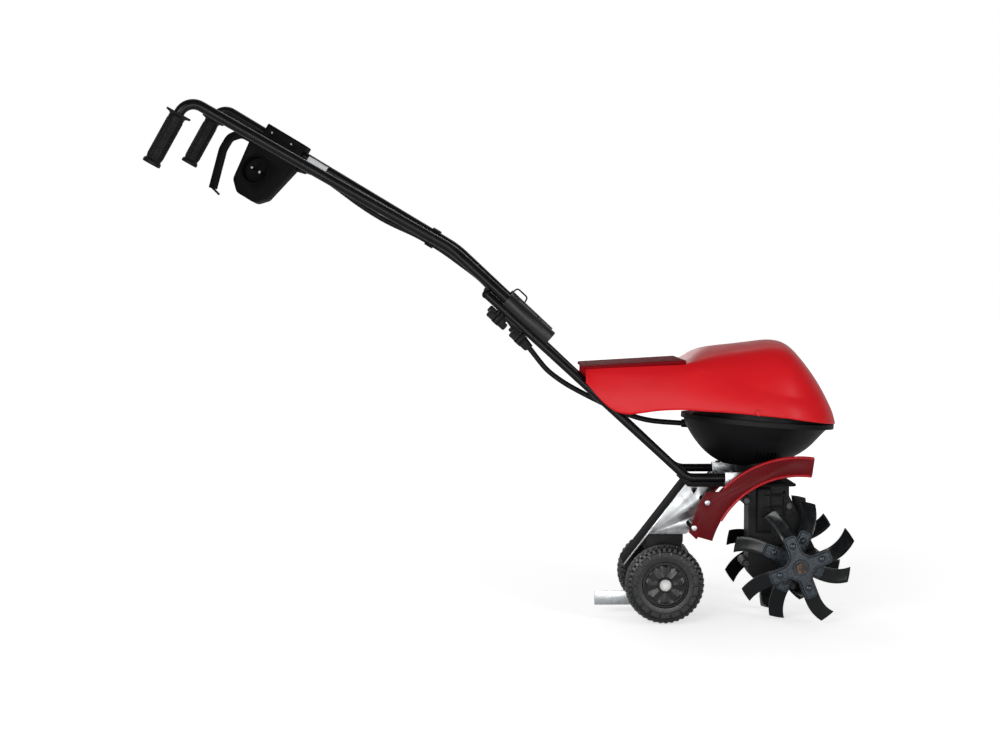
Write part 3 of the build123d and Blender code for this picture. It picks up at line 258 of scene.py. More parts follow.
def bare_label():
    """A plain silver foil, slightly uneven."""
    finish = Finish("bare_label", (0.58, 0.59, 0.60), roughness=0.5, shine=0.3)
    finish.tint(finish.noise(9, detail=1), (0.64, 0.65, 0.66))
    return finish.rough(finish.noise(120, detail=2), 0.46, 0.56).material


def blade_steel():
    """Blackened spring steel with a bluish sheen and scuffs."""
    finish = Finish("blade_steel", (0.0035, 0.004, 0.0046), roughness=0.16, shine=0.3)
    finish.tint(finish.noise(45, detail=5), (0.006, 0.0072, 0.0084))
    finish.rough(finish.noise(90, detail=5), 0.13, 0.26)
    return finish.bump(finish.noise(120, detail=3), height=0.00012, strength=0.3).material


def star_steel():
    """Pressed plate in blue-grey lacquer."""
    finish = Finish("star_steel", (0.030, 0.036, 0.043), roughness=0.22, metallic=0.6)
    finish.tint(finish.noise(55, detail=5), (0.048, 0.058, 0.068))
    finish.rough(finish.noise(180, detail=5), 0.18, 0.36)
    return finish.bump(finish.noise(350, detail=4), height=0.0001, strength=0.5).material


def shaft_steel():
    """Dark steel with a brown film of rust on the end of the shaft."""
    finish = Finish("shaft_steel", (0.030, 0.026, 0.022), roughness=0.42, metallic=0.7)
    finish.tint(finish.noise(160, detail=6), (0.15, 0.085, 0.042), start=0.45, end=0.7)
    return finish.rough(finish.noise(260, detail=5), 0.3, 0.6).material


def cast_case():
    """Dark painted casting, sand-grained."""
    finish = Finish("cast_case", (0.006, 0.0062, 0.0068), roughness=0.4, shine=0.14)
    finish.tint(finish.noise(50, detail=5), (0.010, 0.0104, 0.0112))
    finish.rough(finish.noise(250, detail=5), 0.36, 0.56)
    return finish.bump(finish.noise(500, detail=4), height=0.0003, strength=0.5).material


def gear_bronze():
    """Bronze of the gear wheel."""
    finish = Finish("gear_bronze", (0.50, 0.31, 0.12), roughness=0.35, metallic=1.0)
    finish.tint(finish.noise(120, detail=4), (0.40, 0.24, 0.09))
    return finish.rough(finish.noise(300, detail=3), 0.28, 0.46).material


def winding_copper():
    """Lacquered copper wire."""
    finish = Finish("winding_copper", (0.62, 0.26, 0.11), roughness=0.36, metallic=1.0)
    finish.tint(finish.noise(200, detail=3, stretch=(1, 1, 6)), (0.48, 0.18, 0.07))
    wires = finish.noise(260, detail=2, stretch=(1, 1, 8))
    return finish.bump(wires, height=0.0004, strength=0.7).material


def core_steel():
    """Stacked steel sheets."""
    finish = Finish("core_steel", (0.32, 0.32, 0.34), roughness=0.4, metallic=1.0)
    finish.tint(finish.noise(90, detail=3, stretch=(1, 1, 20)), (0.24, 0.24, 0.26))
    return finish.rough(finish.noise(300, detail=3), 0.32, 0.5).material


FINISHES = {
    "red_plastic": red_moulding(), "red_paint": red_paint(), "black_plastic": black_moulding(),
    "black_paint": black_paint(), "galvanised": galvanised(), "white_cap": cap_white(),
    "tine_steel": blade_steel(), "star_steel": star_steel(), "shaft_steel": shaft_steel(),
    "bronze": gear_bronze(), "copper": winding_copper(), "core_steel": core_steel(),
    "case_alloy": cast_case(), "grip_rubber": grip_rubber(), "cable_rubber": cable_rubber(),
    "tyre_rubber": wheel_moulding(), "pin_metal": zinc(), "button_plastic": red_moulding(),
}
ZINC = FINISHES["pin_metal"]
BEAD_HIGHLIGHT_RED = bead_painted_highlight()
SWITCH_BLACK = switch_moulding()
DARK_ZINC = dark_zinc()
MATT_BLACK_AND_PAINTED_SHADE = matt_black_and_painted_shade()
SCREW_STEEL = screw_steel()
DECK_SHADED_RED = deck_painted_shade()
LABEL_FOIL = bare_label()
OWN_FINISH = {
    "hex_bolts": DARK_ZINC, "handle_bolts": DARK_ZINC, "lever_pin": DARK_ZINC,
    "inlet_pins": SCREW_STEEL, "foot_spur": ZINC, "switch_box": SWITCH_BLACK,
    "switch_cover": SWITCH_BLACK, "switch_bracket": SWITCH_BLACK, "switch_lever": SWITCH_BLACK,
    "clamp_sleeves": satin_black(), "chassis_plate": MATT_BLACK_AND_PAINTED_SHADE,
    "cable_hook": FINISHES["black_paint"], "wheel_hub_left": FINISHES["tyre_rubber"],
    "wheel_hub_right": FINISHES["tyre_rubber"],
}
SLOT_OF = {s["node"]: s["material_slot"] for s in frame["record"]["subparts"]}


def dress_cad():
    """Every CAD node takes its procedural finish."""
    for name, node in frame["nodes"].items():
        node.data.materials.clear()
        node.data.materials.append(OWN_FINISH.get(name) or FINISHES[SLOT_OF[name]])


# Pieces

SHARP = radians(38)
HARD_EDGE = radians(40)
FLAT_WITHIN = radians(1)
CAD_SEAM = 0.002
SPIN_SEAM = 0.001


def piece(name, bm, body, slot, stands_for=(), material=None, sharp=SHARP):
    """A finished mesh at the origin, riding on a body and standing for CAD nodes."""
    bm.normal_update()
    for face in bm.faces:
        face.smooth = True
    for edge in bm.edges:
        edge.smooth = not edge.is_manifold or edge.calc_face_angle(0) < sharp
    mesh = bpy.data.meshes.new(name)
    bm.to_mesh(mesh)
    bm.free()
    mesh.materials.append(material or FINISHES[slot])
    made = bpy.data.objects.new(name, mesh)
    bpy.context.scene.collection.objects.link(made)
    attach(made, body)
    if stands_for:
        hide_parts(*stands_for)
    return made


def bevel(bm, edges, width, segments=2):
    return bmesh.ops.bevel(bm, geom=list(edges), offset=width * MM, offset_type="OFFSET",
                           segments=segments, profile=0.5, affect="EDGES", clamp_overlap=True,
                           material=-1)


def sharp_edges(bm, angle):
    bm.normal_update()
    return [e for e in bm.edges if e.is_manifold and e.calc_face_angle(0) > angle]


def cad_copy(node):
    """The mesh of a CAD node, with its loose triangles merged."""
    bm = bmesh.new()
    bm.from_mesh(frame["nodes"][node].data)
    bmesh.ops.remove_doubles(bm, verts=bm.verts, dist=CAD_SEAM * MM)
    return bm


def softened(node, width, body="chassis", second=None, picks=None):
    """The CAD node with its hard edges rounded, and a second finish on the faces picked."""
    bm = cad_copy(node)
    bmesh.ops.dissolve_limit(bm, angle_limit=FLAT_WITHIN, verts=bm.verts, edges=bm.edges)
    bevel(bm, sharp_edges(bm, HARD_EDGE), width)
    bm.normal_update()
    for face in bm.faces:
        face.material_index = 1 if picks and picks(face) else 0
    made = piece(node + "_rounded", bm, body, SLOT_OF[node], [node], OWN_FINISH.get(node))
    if second:
        made.data.materials.append(second)


def smoothed(node):
    """A CAD tube of the chassis, shaded smooth."""
    piece(node + "_smooth", cad_copy(node), "chassis", SLOT_OF[node], [node], OWN_FINISH.get(node))


def added(bm, before):
    """The vertices that a mesh has gained."""
    return [v for v in bm.verts if v not in before]


def chain(bm, points, closed=False):
    """A few vertices joined in a row."""
    verts = [bm.verts.new(p) for p in points]
    edges = [bm.edges.new(pair) for pair in zip(verts, verts[1:])]
    if closed:
        edges.append(bm.edges.new((verts[-1], verts[0])))
    return verts, edges


def turned(bm, profile, steps):
    """A profile of radius and height, spun round local Z. Gives back the new vertices."""
    before = set(bm.verts)
    verts, edges = chain(bm, [(r * MM, 0, z * MM) for r, z in profile])
    bmesh.ops.spin(bm, geom=verts + edges, cent=(0, 0, 0), axis=(0, 0, 1), angle=2 * pi,
                   steps=steps, use_merge=True)
    bmesh.ops.remove_doubles(bm, verts=added(bm, before), dist=SPIN_SEAM * MM)
    skin = [f for f in bm.faces if f.verts[0] not in before]
    bmesh.ops.recalc_face_normals(bm, faces=skin)
    return added(bm, before)


def both_faces(half):
    """A closed profile from its upper half, which is repeated below the middle."""
    return [*half, *((r, -z) for r, z in reversed(half)), half[0]]


def place_verts(bm, verts, matrix):
    bmesh.ops.transform(bm, matrix=matrix, verts=verts)


def facing(origin, axis, up=(0, 0, 1)):
    """A place whose local Z points along the axis and local X is square to it, near up."""
    z = Vector(axis).normalized()
    x = Vector(up) - z * Vector(up).dot(z)
    x.normalize()
    y = z.cross(x)
    return Matrix.Translation(origin) @ Matrix((x, y, z)).transposed().to_4x4()


def from_shaft(x, y, z):
    """A point measured from the ground below the middle of the tine shaft."""
    return Vector((SHAFT.x + x * MM, y * MM, z * MM))


def on_shaft(y):
    """A point on the axis of the tine shaft."""
    return SHAFT + Vector((0, y * MM, 0))


def moulded_block(bm, size, at, taper=0.85, round_edge=0.8):
    """A small block with a tapered top along local X and rounded edges."""
    made = bmesh.ops.create_cube(bm, size=1.0)["verts"]
    for v in made:
        if v.co.x > 0:
            v.co.y *= taper
            v.co.z *= taper
    full_size = Matrix.Diagonal((*[s * MM for s in size], 1))
    place_verts(bm, made, Matrix.Translation(Vector(at) * MM) @ full_size)
    rounded = bevel(bm, {e for v in made for e in v.link_edges}, round_edge, segments=1)
    return list({v for f in rounded["faces"] for v in f.verts} | {v for v in made if v.is_valid})


def repeat(bm, verts, count, first=0.0):
    """Copies of some geometry, evenly round local Z."""
    place_verts(bm, verts, Matrix.Rotation(first, 4, "Z"))
    geom = set(verts)
    for v in verts:
        geom.update(v.link_edges)
        geom.update(v.link_faces)
    for k in range(1, count):
        copy = bmesh.ops.duplicate(bm, geom=list(geom))
        new = [g for g in copy["geom"] if isinstance(g, bmesh.types.BMVert)]
        place_verts(bm, new, Matrix.Rotation(2 * pi * k / count, 4, "Z"))


# Bonnet: half sections from the middle of its top down to its lower edge. Each row gives the
# place along the machine, the top, the shoulder, the crease, the bulge and the lower edge.

BONNET_SECTIONS = (
    (-398, 485.0, (100, 482), (106, 474), (111, 466), (114, 457)),
    (-385, 485.7, (101, 483), (108, 471), (113, 457), (115, 441)),
    (-362, 487.0, (102, 484), (110, 468), (116, 441), (116, 413)),
    (-335, 488.5, (103, 485), (112, 466), (118, 433), (116, 397)),
    (-306, 490.0, (104, 486), (114, 466), (120, 434), (118, 397)),
    (-270, 492.0, (105, 488), (116, 468), (123, 438), (122, 404)),
    (-235, 493.5, (106, 489), (118, 469), (126, 440), (126, 406)),
    (-208, 495.0, (106, 490), (119, 471), (128, 440), (128.5, 406)),
    (-192, 511.0, (101, 498), (117, 478), (129, 440), (130, 404.5)),
    (-172, 519.0, (95, 504), (113, 486), (130, 440), (131, 403)),
    (-147, 523.0, (90, 508), (113, 473), (131, 436), (131.5, 402)),
    (-110, 526.5, (86, 512), (117, 458), (131, 428), (132, 399)),
    (-70, 531.5, (84, 516), (121, 443), (131, 420), (132, 395)),
    (-45, 535.0, (83, 519), (121, 436), (130, 414), (131, 392.5)),
    (-20, 533.0, (82, 515), (119, 430), (128, 410), (130, 390)),
    (0, 521.0, (80, 502), (115, 427), (124, 407), (126, 386)),
    (22, 495.0, (74, 478), (106, 425.5), (116, 404), (118, 383)),
    (40, 471.0, (66, 456), (95, 424), (106, 402), (108, 380)),
    (55, 446.5, (56, 436), (80, 420), (93, 400), (95, 378)),
    (68, 421.0, (42, 415.5), (62, 409), (74, 394), (76, 375.5)),
    (78, 399.0, (28, 396), (42, 391), (52, 383), (55, 374)),
    (85, 380.0, (12, 379), (20, 377), (25, 375), (27, 372.8)),
    (87, 374.0, (3, 374), (6, 373.5), (9, 373), (11, 372)),
)
BONNET_WALL = 3.0
TAIL_END = -200
CROWN_OUT, CROWN_DROP = 0.55, 0.25
TAIL_SWELL, HUMP_SWELL = 0.04, 0.11
SHOULDER, CREASE, LOWER = 2, 4, 6
TAIL_CREASES = {SHOULDER: 0.75, CREASE: 0.0, LOWER: 1.0}
HUMP_CREASES = {SHOULDER: 0.15, CREASE: 0.8, LOWER: 1.0}
BONNET_SHARP = radians(75)
MIRROR_SEAM = 0.01


def bonnet():
    """The red shell: half of it bridged from section to section, mirrored and given its wall."""
    bm = bmesh.new()
    rows = []
    loops = []
    for x, top, shoulder, crease, bulge, lower in BONNET_SECTIONS:
        crown = (CROWN_OUT * shoulder[0], top - CROWN_DROP * (top - shoulder[1]))
        swell = (TAIL_SWELL if x < TAIL_END else HUMP_SWELL) * (shoulder[1] - crease[1])
        flank = ((shoulder[0] + crease[0]) / 2 + swell, (shoulder[1] + crease[1]) / 2)
        half = [(0, top), crown, shoulder, flank, crease, bulge, lower]
        verts, edges = chain(bm, [from_shaft(x, y, z) for y, z in half])
        rows.append(verts)
        loops += edges
    bmesh.ops.bridge_loops(bm, edges=loops)
    crease_layer = bm.edges.layers.float.new("crease_edge")
    for row, following, section in zip(rows, rows[1:], BONNET_SECTIONS):
        creases = TAIL_CREASES if section[0] < TAIL_END else HUMP_CREASES
        for number, weight in creases.items():
            bm.edges.get((row[number], following[number]))[crease_layer] = weight
    for pair in zip(rows[0], rows[0][1:]):
        bm.edges.get(pair)[crease_layer] = 1.0
    bmesh.ops.mirror(bm, geom=bm.verts[:] + bm.edges[:] + bm.faces[:], axis="Y",
                     merge_dist=MIRROR_SEAM * MM)
    bmesh.ops.recalc_face_normals(bm, faces=bm.faces[:])
    top = max(bm.faces, key=lambda f: f.calc_center_median().z)
    if top.normal.z < 0:
        bmesh.ops.reverse_faces(bm, faces=bm.faces[:])
    made = piece("bonnet_shell", bm, "chassis", "red_plastic", ["bonnet"], sharp=BONNET_SHARP)
    smooth = made.modifiers.new("Smooth", "SUBSURF")
    smooth.levels = smooth.render_levels = 3
    wall = made.modifiers.new("Wall", "SOLIDIFY")
    wall.thickness = BONNET_WALL * MM
    wall.offset = -1


# Deck of the bonnet's tail

DECK_LENGTH = 192.0
DECK_HALF = 105.0
DECK_T = 6.4
DECK_REAR = -402
DECK_Z = 489.0
DECK_RISE = 11.0
DECK_LIP = 2.6
DECK_CUTS = 7
DECK_NARROW, DECK_FLARE = 0.985, 0.02
LONG_EDGE = 100


def tail_deck():
    """The lid of the tail: a thin tray over the flanks, with a rounded lip."""
    bm = bmesh.new()
    made = bmesh.ops.create_cube(bm, size=1.0)["verts"]
    full_size = Matrix.Diagonal((DECK_LENGTH * MM, 2 * DECK_HALF * MM, DECK_T * MM, 1))
    place_verts(bm, made, full_size)
    lengthwise = [e for e in bm.edges
                  if abs(e.verts[0].co.x - e.verts[1].co.x) > LONG_EDGE * MM]
    bmesh.ops.subdivide_edges(bm, edges=lengthwise, cuts=DECK_CUTS, use_grid_fill=True)
    for v in bm.verts:
        v.co.y *= DECK_NARROW + DECK_FLARE * (v.co.x / (DECK_LENGTH * MM) + 0.5)
    bevel(bm, sharp_edges(bm, HARD_EDGE), DECK_LIP, segments=4)
    slope = Matrix.Rotation(-atan2(DECK_RISE, DECK_LENGTH), 4, "Y")
    middle = from_shaft(DECK_REAR + DECK_LENGTH / 2, 0, DECK_Z)
    place_verts(bm, bm.verts[:], Matrix.Translation(middle) @ slope)
    # The deck takes a darker copy of the bonnet's red: painted shade.
    piece("tail_deck", bm, "chassis", "red_plastic", material=DECK_SHADED_RED)


# Wheels: dark moulded tyres with two rows of lugs, a ring of pads and a pleated disc

WHEEL_STEPS = 96
TYRE_HALF = ((42, 16.5), (44, 19.5), (51, 20.3), (62, 20.3), (66, 19.2), (69, 15.5), (70.5, 10))
LUGS = 42
LUG_SIZE = (8, 7.4, 19.5)
LUG_R, LUG_OUT = 71, 11.5
LUG_SHOULDER, LUG_FALL = 15, 4.0
PADS = 18
PAD_SIZE = (10.5, 16.4, 3.0)
PAD_R, PAD_OUT = 57.3, 20.6
PAD_FLARE = 1.08
DISC_HALF = ((6.06, 20), (13, 20), (14.5, 18.5), (15, 14.5), (24, 13.8), (33, 13.6), (36, 13.0),
             (37, 9.5), (39, 9.5), (39.6, 15.8), (40.6, 17.0), (42, 17.0))
PLEATS = 8
PLEAT_H = 1.5
PLEAT_IN, PLEAT_OUT = 20, 35
PLEAT_SHARP = radians(12)
CAP_PROFILE = ((0, 9.6), (4, 9.3), (7.6, 7.8), (8.8, 6.0), (9.0, 3.2), (10.4, 2.6), (10.5, 0.4),
               (9.6, 0), (6, 0))
CAP_DEPTH = 8.4


def tyre(name, place):
    bm = bmesh.new()
    turned(bm, both_faces(TYRE_HALF), WHEEL_STEPS)
    for side in (-1, 1):
        lug = moulded_block(bm, LUG_SIZE, (LUG_R, 0, side * LUG_OUT))
        for v in lug:
            if v.co.z * side > LUG_SHOULDER * MM:
                v.co.x -= LUG_FALL * MM
        repeat(bm, lug, LUGS, side * pi / LUGS / 2)
        pad = moulded_block(bm, PAD_SIZE, (PAD_R, 0, side * PAD_OUT), taper=PAD_FLARE)
        repeat(bm, pad, PADS)
    place_verts(bm, bm.verts[:], place)
    piece("tyre_tread_" + name, bm, name + "_wheel", "tyre_rubber", ["tyre_" + name])


def wheel_disc(name, place):
    bm = bmesh.new()
    turned(bm, both_faces(DISC_HALF), WHEEL_STEPS)
    for v in bm.verts:
        if PLEAT_IN < hypot(v.co.x, v.co.y) / MM < PLEAT_OUT:
            share = (atan2(v.co.y, v.co.x) / (2 * pi) * 2 * PLEATS) % 2
            outward = 1 if v.co.z > 0 else -1
            v.co.z += outward * PLEAT_H * MM * (abs(share - 1) * 2 - 1)
    place_verts(bm, bm.verts[:], place)
    piece("wheel_disc_" + name, bm, name + "_wheel", "black_plastic", ["wheel_hub_" + name],
          FINISHES["tyre_rubber"], PLEAT_SHARP)


def wheels():
    for name, side in SIDES.items():
        place = facing(joint_at[name + "_wheel_spin"], (0, side, 0))
        tyre(name, place)
        wheel_disc(name, place)


def axle_caps():
    bm = bmesh.new()
    low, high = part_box("axle_caps")
    for name, side in SIDES.items():
        cap = turned(bm, CAP_PROFILE, steps=40)
        face = joint_at[name + "_wheel_spin"].copy()
        face.y = (high.y - CAP_DEPTH * MM) if side > 0 else (low.y + CAP_DEPTH * MM)
        place_verts(bm, cap, facing(face, (0, side, 0)))
    piece("axle_end_caps", bm, "chassis", "white_cap", ["axle_caps"])


# Tines: each star has its place on the shaft, its first arm's angle and its blades' lean

BLADES = 4
STAR_ANGLE = 21.5
STARS = ((70.0, STAR_ANGLE + 45, 16.0), (145.0, STAR_ANGLE, 30.0))
TIP_R = 114.0
CORNER_R = 117.5
BLADE_T = 3.2
BLADE_HALF = 14.0
BLADE_INSET = 4
BLADE_GRID = {"x_segments": 22, "y_segments": 4}
BLADE_ROOT = 0.2
BLADE_STEP = 0.01
BLADE_ROOT_R = 40
BEND_FROM = 0.47
BLADE_SWEEP, SWEEP_POWER = 18.0, 2.4
LEAN_POWER = 1.3
TIP_SLANT = 0.05
TIP_NARROW, NARROW_FROM, NARROW_POWER = 0.06, 0.68, 1.6
DISH, DISH_FROM = 1.3, 0.3
BLADE_ROUND = 0.5
BLADE_EDGE, BLADE_SHARP = radians(60), radians(50)


def blade_middle(share, lean):
    """The middle of a blade at a share of its reach: flat, then curving round and leaning in."""
    curve = max(0.0, (share - BEND_FROM) / (1 - BEND_FROM))
    across = BLADE_SWEEP * curve ** SWEEP_POWER
    return Vector((sqrt((TIP_R * share) ** 2 - across ** 2), across, -lean * curve ** LEAN_POWER))


def blade(bm, y_root, angle, lean):
    """One curved blade: a grid laid along the blade's line and given its thickness."""
    verts = bmesh.ops.create_grid(bm, **BLADE_GRID, size=0.5)["verts"]
    for v in verts:
        along, across = v.co.x + 0.5, v.co.y * 2
        share = BLADE_ROOT + along * (1 - BLADE_ROOT + TIP_SLANT * across)
        middle = blade_middle(share, lean)
        ahead = blade_middle(share + BLADE_STEP, lean) - middle
        side = Vector((-ahead.y, ahead.x, 0)).normalized()
        tip_share = max(0.0, (share - NARROW_FROM) / (1 - NARROW_FROM))
        v.co = middle + side * across * BLADE_HALF * (1 - TIP_NARROW * tip_share ** NARROW_POWER)
        v.co.z += DISH * across ** 2 * max(0.0, along - DISH_FROM) * (1 if lean > 0 else -1)
        reach = hypot(v.co.x, v.co.y)
        if reach > CORNER_R:
            v.co.xy *= CORNER_R / reach
    faces = list({f for v in verts for f in v.link_faces})
    bmesh.ops.recalc_face_normals(bm, faces=faces)
    solid = bmesh.ops.solidify(bm, geom=faces, thickness=BLADE_T)["geom"]
    verts = list(set(verts) | {g for g in solid if isinstance(g, bmesh.types.BMVert)})
    root_heights = [v.co.z for v in verts if v.co.x < BLADE_ROOT_R]
    centred = Matrix.Translation((0, 0, -sum(root_heights) / len(root_heights)))
    direction = Vector((cos(radians(angle)), 0, sin(radians(angle))))
    place = facing(on_shaft(y_root), (0, -1, 0), direction)
    place_verts(bm, verts, place @ Matrix.Scale(MM, 4) @ centred)


def tine_blades():
    bm = bmesh.new()
    for side in SIDES.values():
        for y, first, lean in STARS:
            for k in range(BLADES):
                blade(bm, side * (y - BLADE_INSET), first + 360 / BLADES * k, -lean * side)
    bmesh.ops.recalc_face_normals(bm, faces=bm.faces[:])
    bevel(bm, sharp_edges(bm, BLADE_EDGE), BLADE_ROUND)
    piece("curved_blades", bm, "tines", "tine_steel", ["tine_blades"], sharp=BLADE_SHARP)


STAR_ARM = ((19.3, -19.3), (24, -14.6), (29, -13.6), (55, -13.3), (60, -11.2), (62, -6.5),
            (62, 6.5), (60, 11.2), (55, 13.3), (29, 13.6), (24, 14.6))
STAR_T = 4.0
STAR_RIM = ((1.2, 1.4), (1.8, 0.0), (1.6, -2.2))
STAR_SHARP = radians(25)
HUB_START, HUB_END = 36.0, 152.0
HUB_PROFILE = ((10.05, 0), (14, 0), (15, 1), (15, 115), (14, 116), (10.05, 116), (10.05, 0))
RIVET_AT = 42
RIVET_PROFILE = ((0, 3.4), (2.2, 3.3), (4.6, 2.6), (6.2, 1.4), (6.9, 0.2), (6.9, 0), (4.5, 0),
                 (4.5, -8), (6.9, -8), (6.9, -9.5), (5.0, -10.8), (0, -11))


def star_plate(bm, side, y, first):
    """One pressed plate with four arms and a raised rim."""
    before = set(bm.verts)
    outline = []
    for k in range(BLADES):
        turn = Matrix.Rotation(radians(first + 360 / BLADES * k), 2)
        outline += [turn @ Vector(corner) for corner in STAR_ARM]
    verts = chain(bm, [(p.x, p.y, STAR_T / 2) for p in outline], closed=True)[0]
    face = bm.faces.new(verts)
    base = bmesh.ops.extrude_face_region(bm, geom=[face])["geom"]
    lower = [g for g in base if isinstance(g, bmesh.types.BMVert)]
    bmesh.ops.translate(bm, verts=lower, vec=(0, 0, -STAR_T))
    top = max((f for f in bm.faces if f.verts[0] not in before and len(f.verts) > 4),
              key=lambda f: f.calc_center_median().z)
    for width, depth in STAR_RIM:
        bmesh.ops.inset_individual(bm, faces=[top], thickness=width, depth=depth)
    place = facing(on_shaft(side * y), (0, side, 0), (1, 0, 0))
    flip = Matrix.Diagonal((1, -side, 1, 1))
    place_verts(bm, added(bm, before), place @ flip @ Matrix.Scale(MM, 4))


def star_plates():
    """The plates of the four stars and the tubes that they are welded on."""
    bm = bmesh.new()
    for side in SIDES.values():
        for y, first, _ in STARS:
            star_plate(bm, side, y, first)
        tube = turned(bm, HUB_PROFILE, steps=48)
        place_verts(bm, tube, facing(on_shaft(min(side * HUB_START, side * HUB_END)), (0, 1, 0)))
    bmesh.ops.recalc_face_normals(bm, faces=bm.faces[:])
    piece("star_plates", bm, "tines", "star_steel", ["tine_hubs"], sharp=STAR_SHARP)


def rivets():
    bm = bmesh.new()
    for side in SIDES.values():
        for y, first, _ in STARS:
            for k in range(BLADES):
                angle = radians(first + 360 / BLADES * k)
                out, up = RIVET_AT * cos(angle), RIVET_AT * sin(angle)
                at = SHAFT + Vector((out, side * (y + STAR_T / 2), up)) * MM
                head = turned(bm, RIVET_PROFILE, steps=24)
                place_verts(bm, head, facing(at, (0, side, 0)))
    piece("blade_rivets", bm, "tines", "tine_steel", ["tine_rivets"], FINISHES["star_steel"])


# Handle: ribbed grips, and domes on the upper ends of the frame tubes

GRIP_X, GRIP_Y, GRIP_Z = -1180.8, 235, 871.05
GRIP_ROLL = 13.55
GRIP_UP = Vector((63.5, 0, 113.0)).normalized()
GRIP_OVERHANG = 4
GRIP_FLANGE = ((9.7, 104), (23, 104), (24, 102.6), (24, 101.4), (22.8, 100), (16.5, 98.5),
               (14.6, 96))
GRIP_END = ((14.6, 8.5), (16.4, 7), (17, 5.5), (17, 1.2), (15.8, 0), (0, 0))
GRIP_RIBS, RIB_START, RIB_PITCH = 15, 8, 5.7
RIB_PROFILE = ((14.9, 1.6), (14.9, -0.4), (13.4, -1.4), (13.4, -3.2))
LOBES, LOBE_SIZE, LOBE_AT = 6, (1.7, 3.4, 88), (14.6, 0, 52)
GRIP_SHARP = radians(50)
DOME_PROFILE = ((0, -14), (6.3, -14), (6.3, 0), (8.9, 0), (9.1, 1.2), (8.9, 3.2), (7.8, 6.0),
                (5.6, 8.2), (2.8, 9.4), (0, 9.8))
TUBE_Y = 95
TUBE_ENDS = {-1: (-582.2, 619.9), 1: (-577.6, 624.8)}
TUBE_BEND = (-207, 276)


def grips():
    profile = list(GRIP_FLANGE)
    for k in range(GRIP_RIBS, 0, -1):
        profile += [(r, RIB_START + k * RIB_PITCH + z) for r, z in RIB_PROFILE]
    profile += GRIP_END
    for name, side in SIDES.items():
        bm = bmesh.new()
        turned(bm, profile, steps=56)
        for k in range(LOBES):
            lobe = moulded_block(bm, LOBE_SIZE, LOBE_AT, taper=0.8, round_edge=0.5)
            place_verts(bm, lobe, Matrix.Rotation((k + 0.5) * 2 * pi / LOBES, 4, "Z"))
        bar_end = from_shaft(GRIP_X, side * GRIP_Y, GRIP_Z + side * GRIP_ROLL)
        start = bar_end - GRIP_UP * GRIP_OVERHANG * MM
        place_verts(bm, bm.verts[:], facing(start, GRIP_UP, (0, 1, 0)))
        piece("ribbed_grip_" + name, bm, "chassis", "grip_rubber", ["grip_" + name],
              sharp=GRIP_SHARP)


def tube_domes():
    """Rounded plugs on the upper ends of the frame tubes."""
    bm = bmesh.new()
    for side, (x, z) in TUBE_ENDS.items():
        dome = turned(bm, DOME_PROFILE, steps=32)
        end = from_shaft(x, side * TUBE_Y, z)
        bend = from_shaft(TUBE_BEND[0], side * TUBE_Y, TUBE_BEND[1])
        place_verts(bm, dome, facing(end, end - bend, (0, 1, 0)))
    piece("tube_end_domes", bm, "chassis", "black_plastic", ["tube_caps"])


# Switch: its own place on the left bar, with U down the bar, V square to it and W inwards

SWITCH_AT = from_shaft(-987.9, 197.0, 919.3)
BAR_DOWN = Vector((0.82997, -0.24341, -0.50190))
BAR_UP = Vector((0.51746, 0, 0.85571))
INWARD = Vector((-0.20829, -0.96992, 0.12596))
LABEL_AT = 87
LABEL_PROFILE = ((9.62, -23), (9.62, 23), (9.95, 22.7), (9.95, -22.7))
LABEL_SWEEP, LABEL_TURN = radians(105), radians(-36)
SCREW_PROFILE = ((0, 0.9), (1.3, 0.9), (1.5, 1.7), (2.2, 1.6), (2.9, 1.0), (3.1, 0.2),
                 (3.1, -0.6), (0, -0.6))
BRACKET_FACE, BRACKET_SCREWS = 17.0, ((-26, 7.5), (21, 7.5))
BOX_BACK, BOX_SCREWS = -28.0, ((-26, -100), (18, -110), (36, -40))
INLET_AT = (-13, -73, 0)
COLLAR_PROFILE = ((27.0, 29.4), (28.0, 30.2), (29.4, 30.2), (30.6, 29.2), (31.0, 27.9),
                  (27.2, 27.9), (27.0, 29.4))


def on_bar(u, v, w):
    return SWITCH_AT + (BAR_DOWN * u + BAR_UP * v + INWARD * w) * MM


def label():
    """A bare silver label wrapped on the near side of the left bar."""
    bm = bmesh.new()
    verts, edges = chain(bm, [(r * MM, 0, z * MM) for r, z in LABEL_PROFILE], closed=True)
    end = bm.faces.new(verts)
    bmesh.ops.spin(bm, geom=[*verts, *edges, end], cent=(0, 0, 0), axis=(0, 0, 1),
                   angle=LABEL_SWEEP, steps=18)
    place = facing(on_bar(LABEL_AT, 0, 0), BAR_DOWN, INWARD)
    place_verts(bm, bm.verts[:], place @ Matrix.Rotation(LABEL_TURN, 4, "Z"))
    bmesh.ops.recalc_face_normals(bm, faces=bm.faces[:])
    piece("bare_label", bm, "chassis", "pin_metal", material=LABEL_FOIL)


def screw_heads():
    """Small domed screws with a hollow, on the bracket and on the hidden face of the box."""
    bm = bmesh.new()
    for face, way, screws in ((BRACKET_FACE, 1, BRACKET_SCREWS), (BOX_BACK, -1, BOX_SCREWS)):
        for u, v in screws:
            head = turned(bm, SCREW_PROFILE, steps=24)
            place_verts(bm, head, facing(on_bar(u, v, face), INWARD * way, BAR_UP))
    piece("switch_screw_heads", bm, "chassis", "galvanised", ["switch_screws"], SCREW_STEEL)


def inlet_collar():
    """The raised ring round the inlet's recess, with a stepped mouth."""
    bm = bmesh.new()
    turned(bm, COLLAR_PROFILE, steps=72)
    place_verts(bm, bm.verts[:], facing(on_bar(*INLET_AT), INWARD, BAR_UP))
    piece("inlet_collar", bm, "chassis", "black_plastic", material=SWITCH_BLACK)


# Mudguard: rolled edges along its skirts, each with its radius and its first and last angle

GUARD_EDGES = ((202.6, 82.4, 134.0), (169.2, 82.4, 150.0))
GUARD_HALF = 125.2
BEAD_R = 2.8


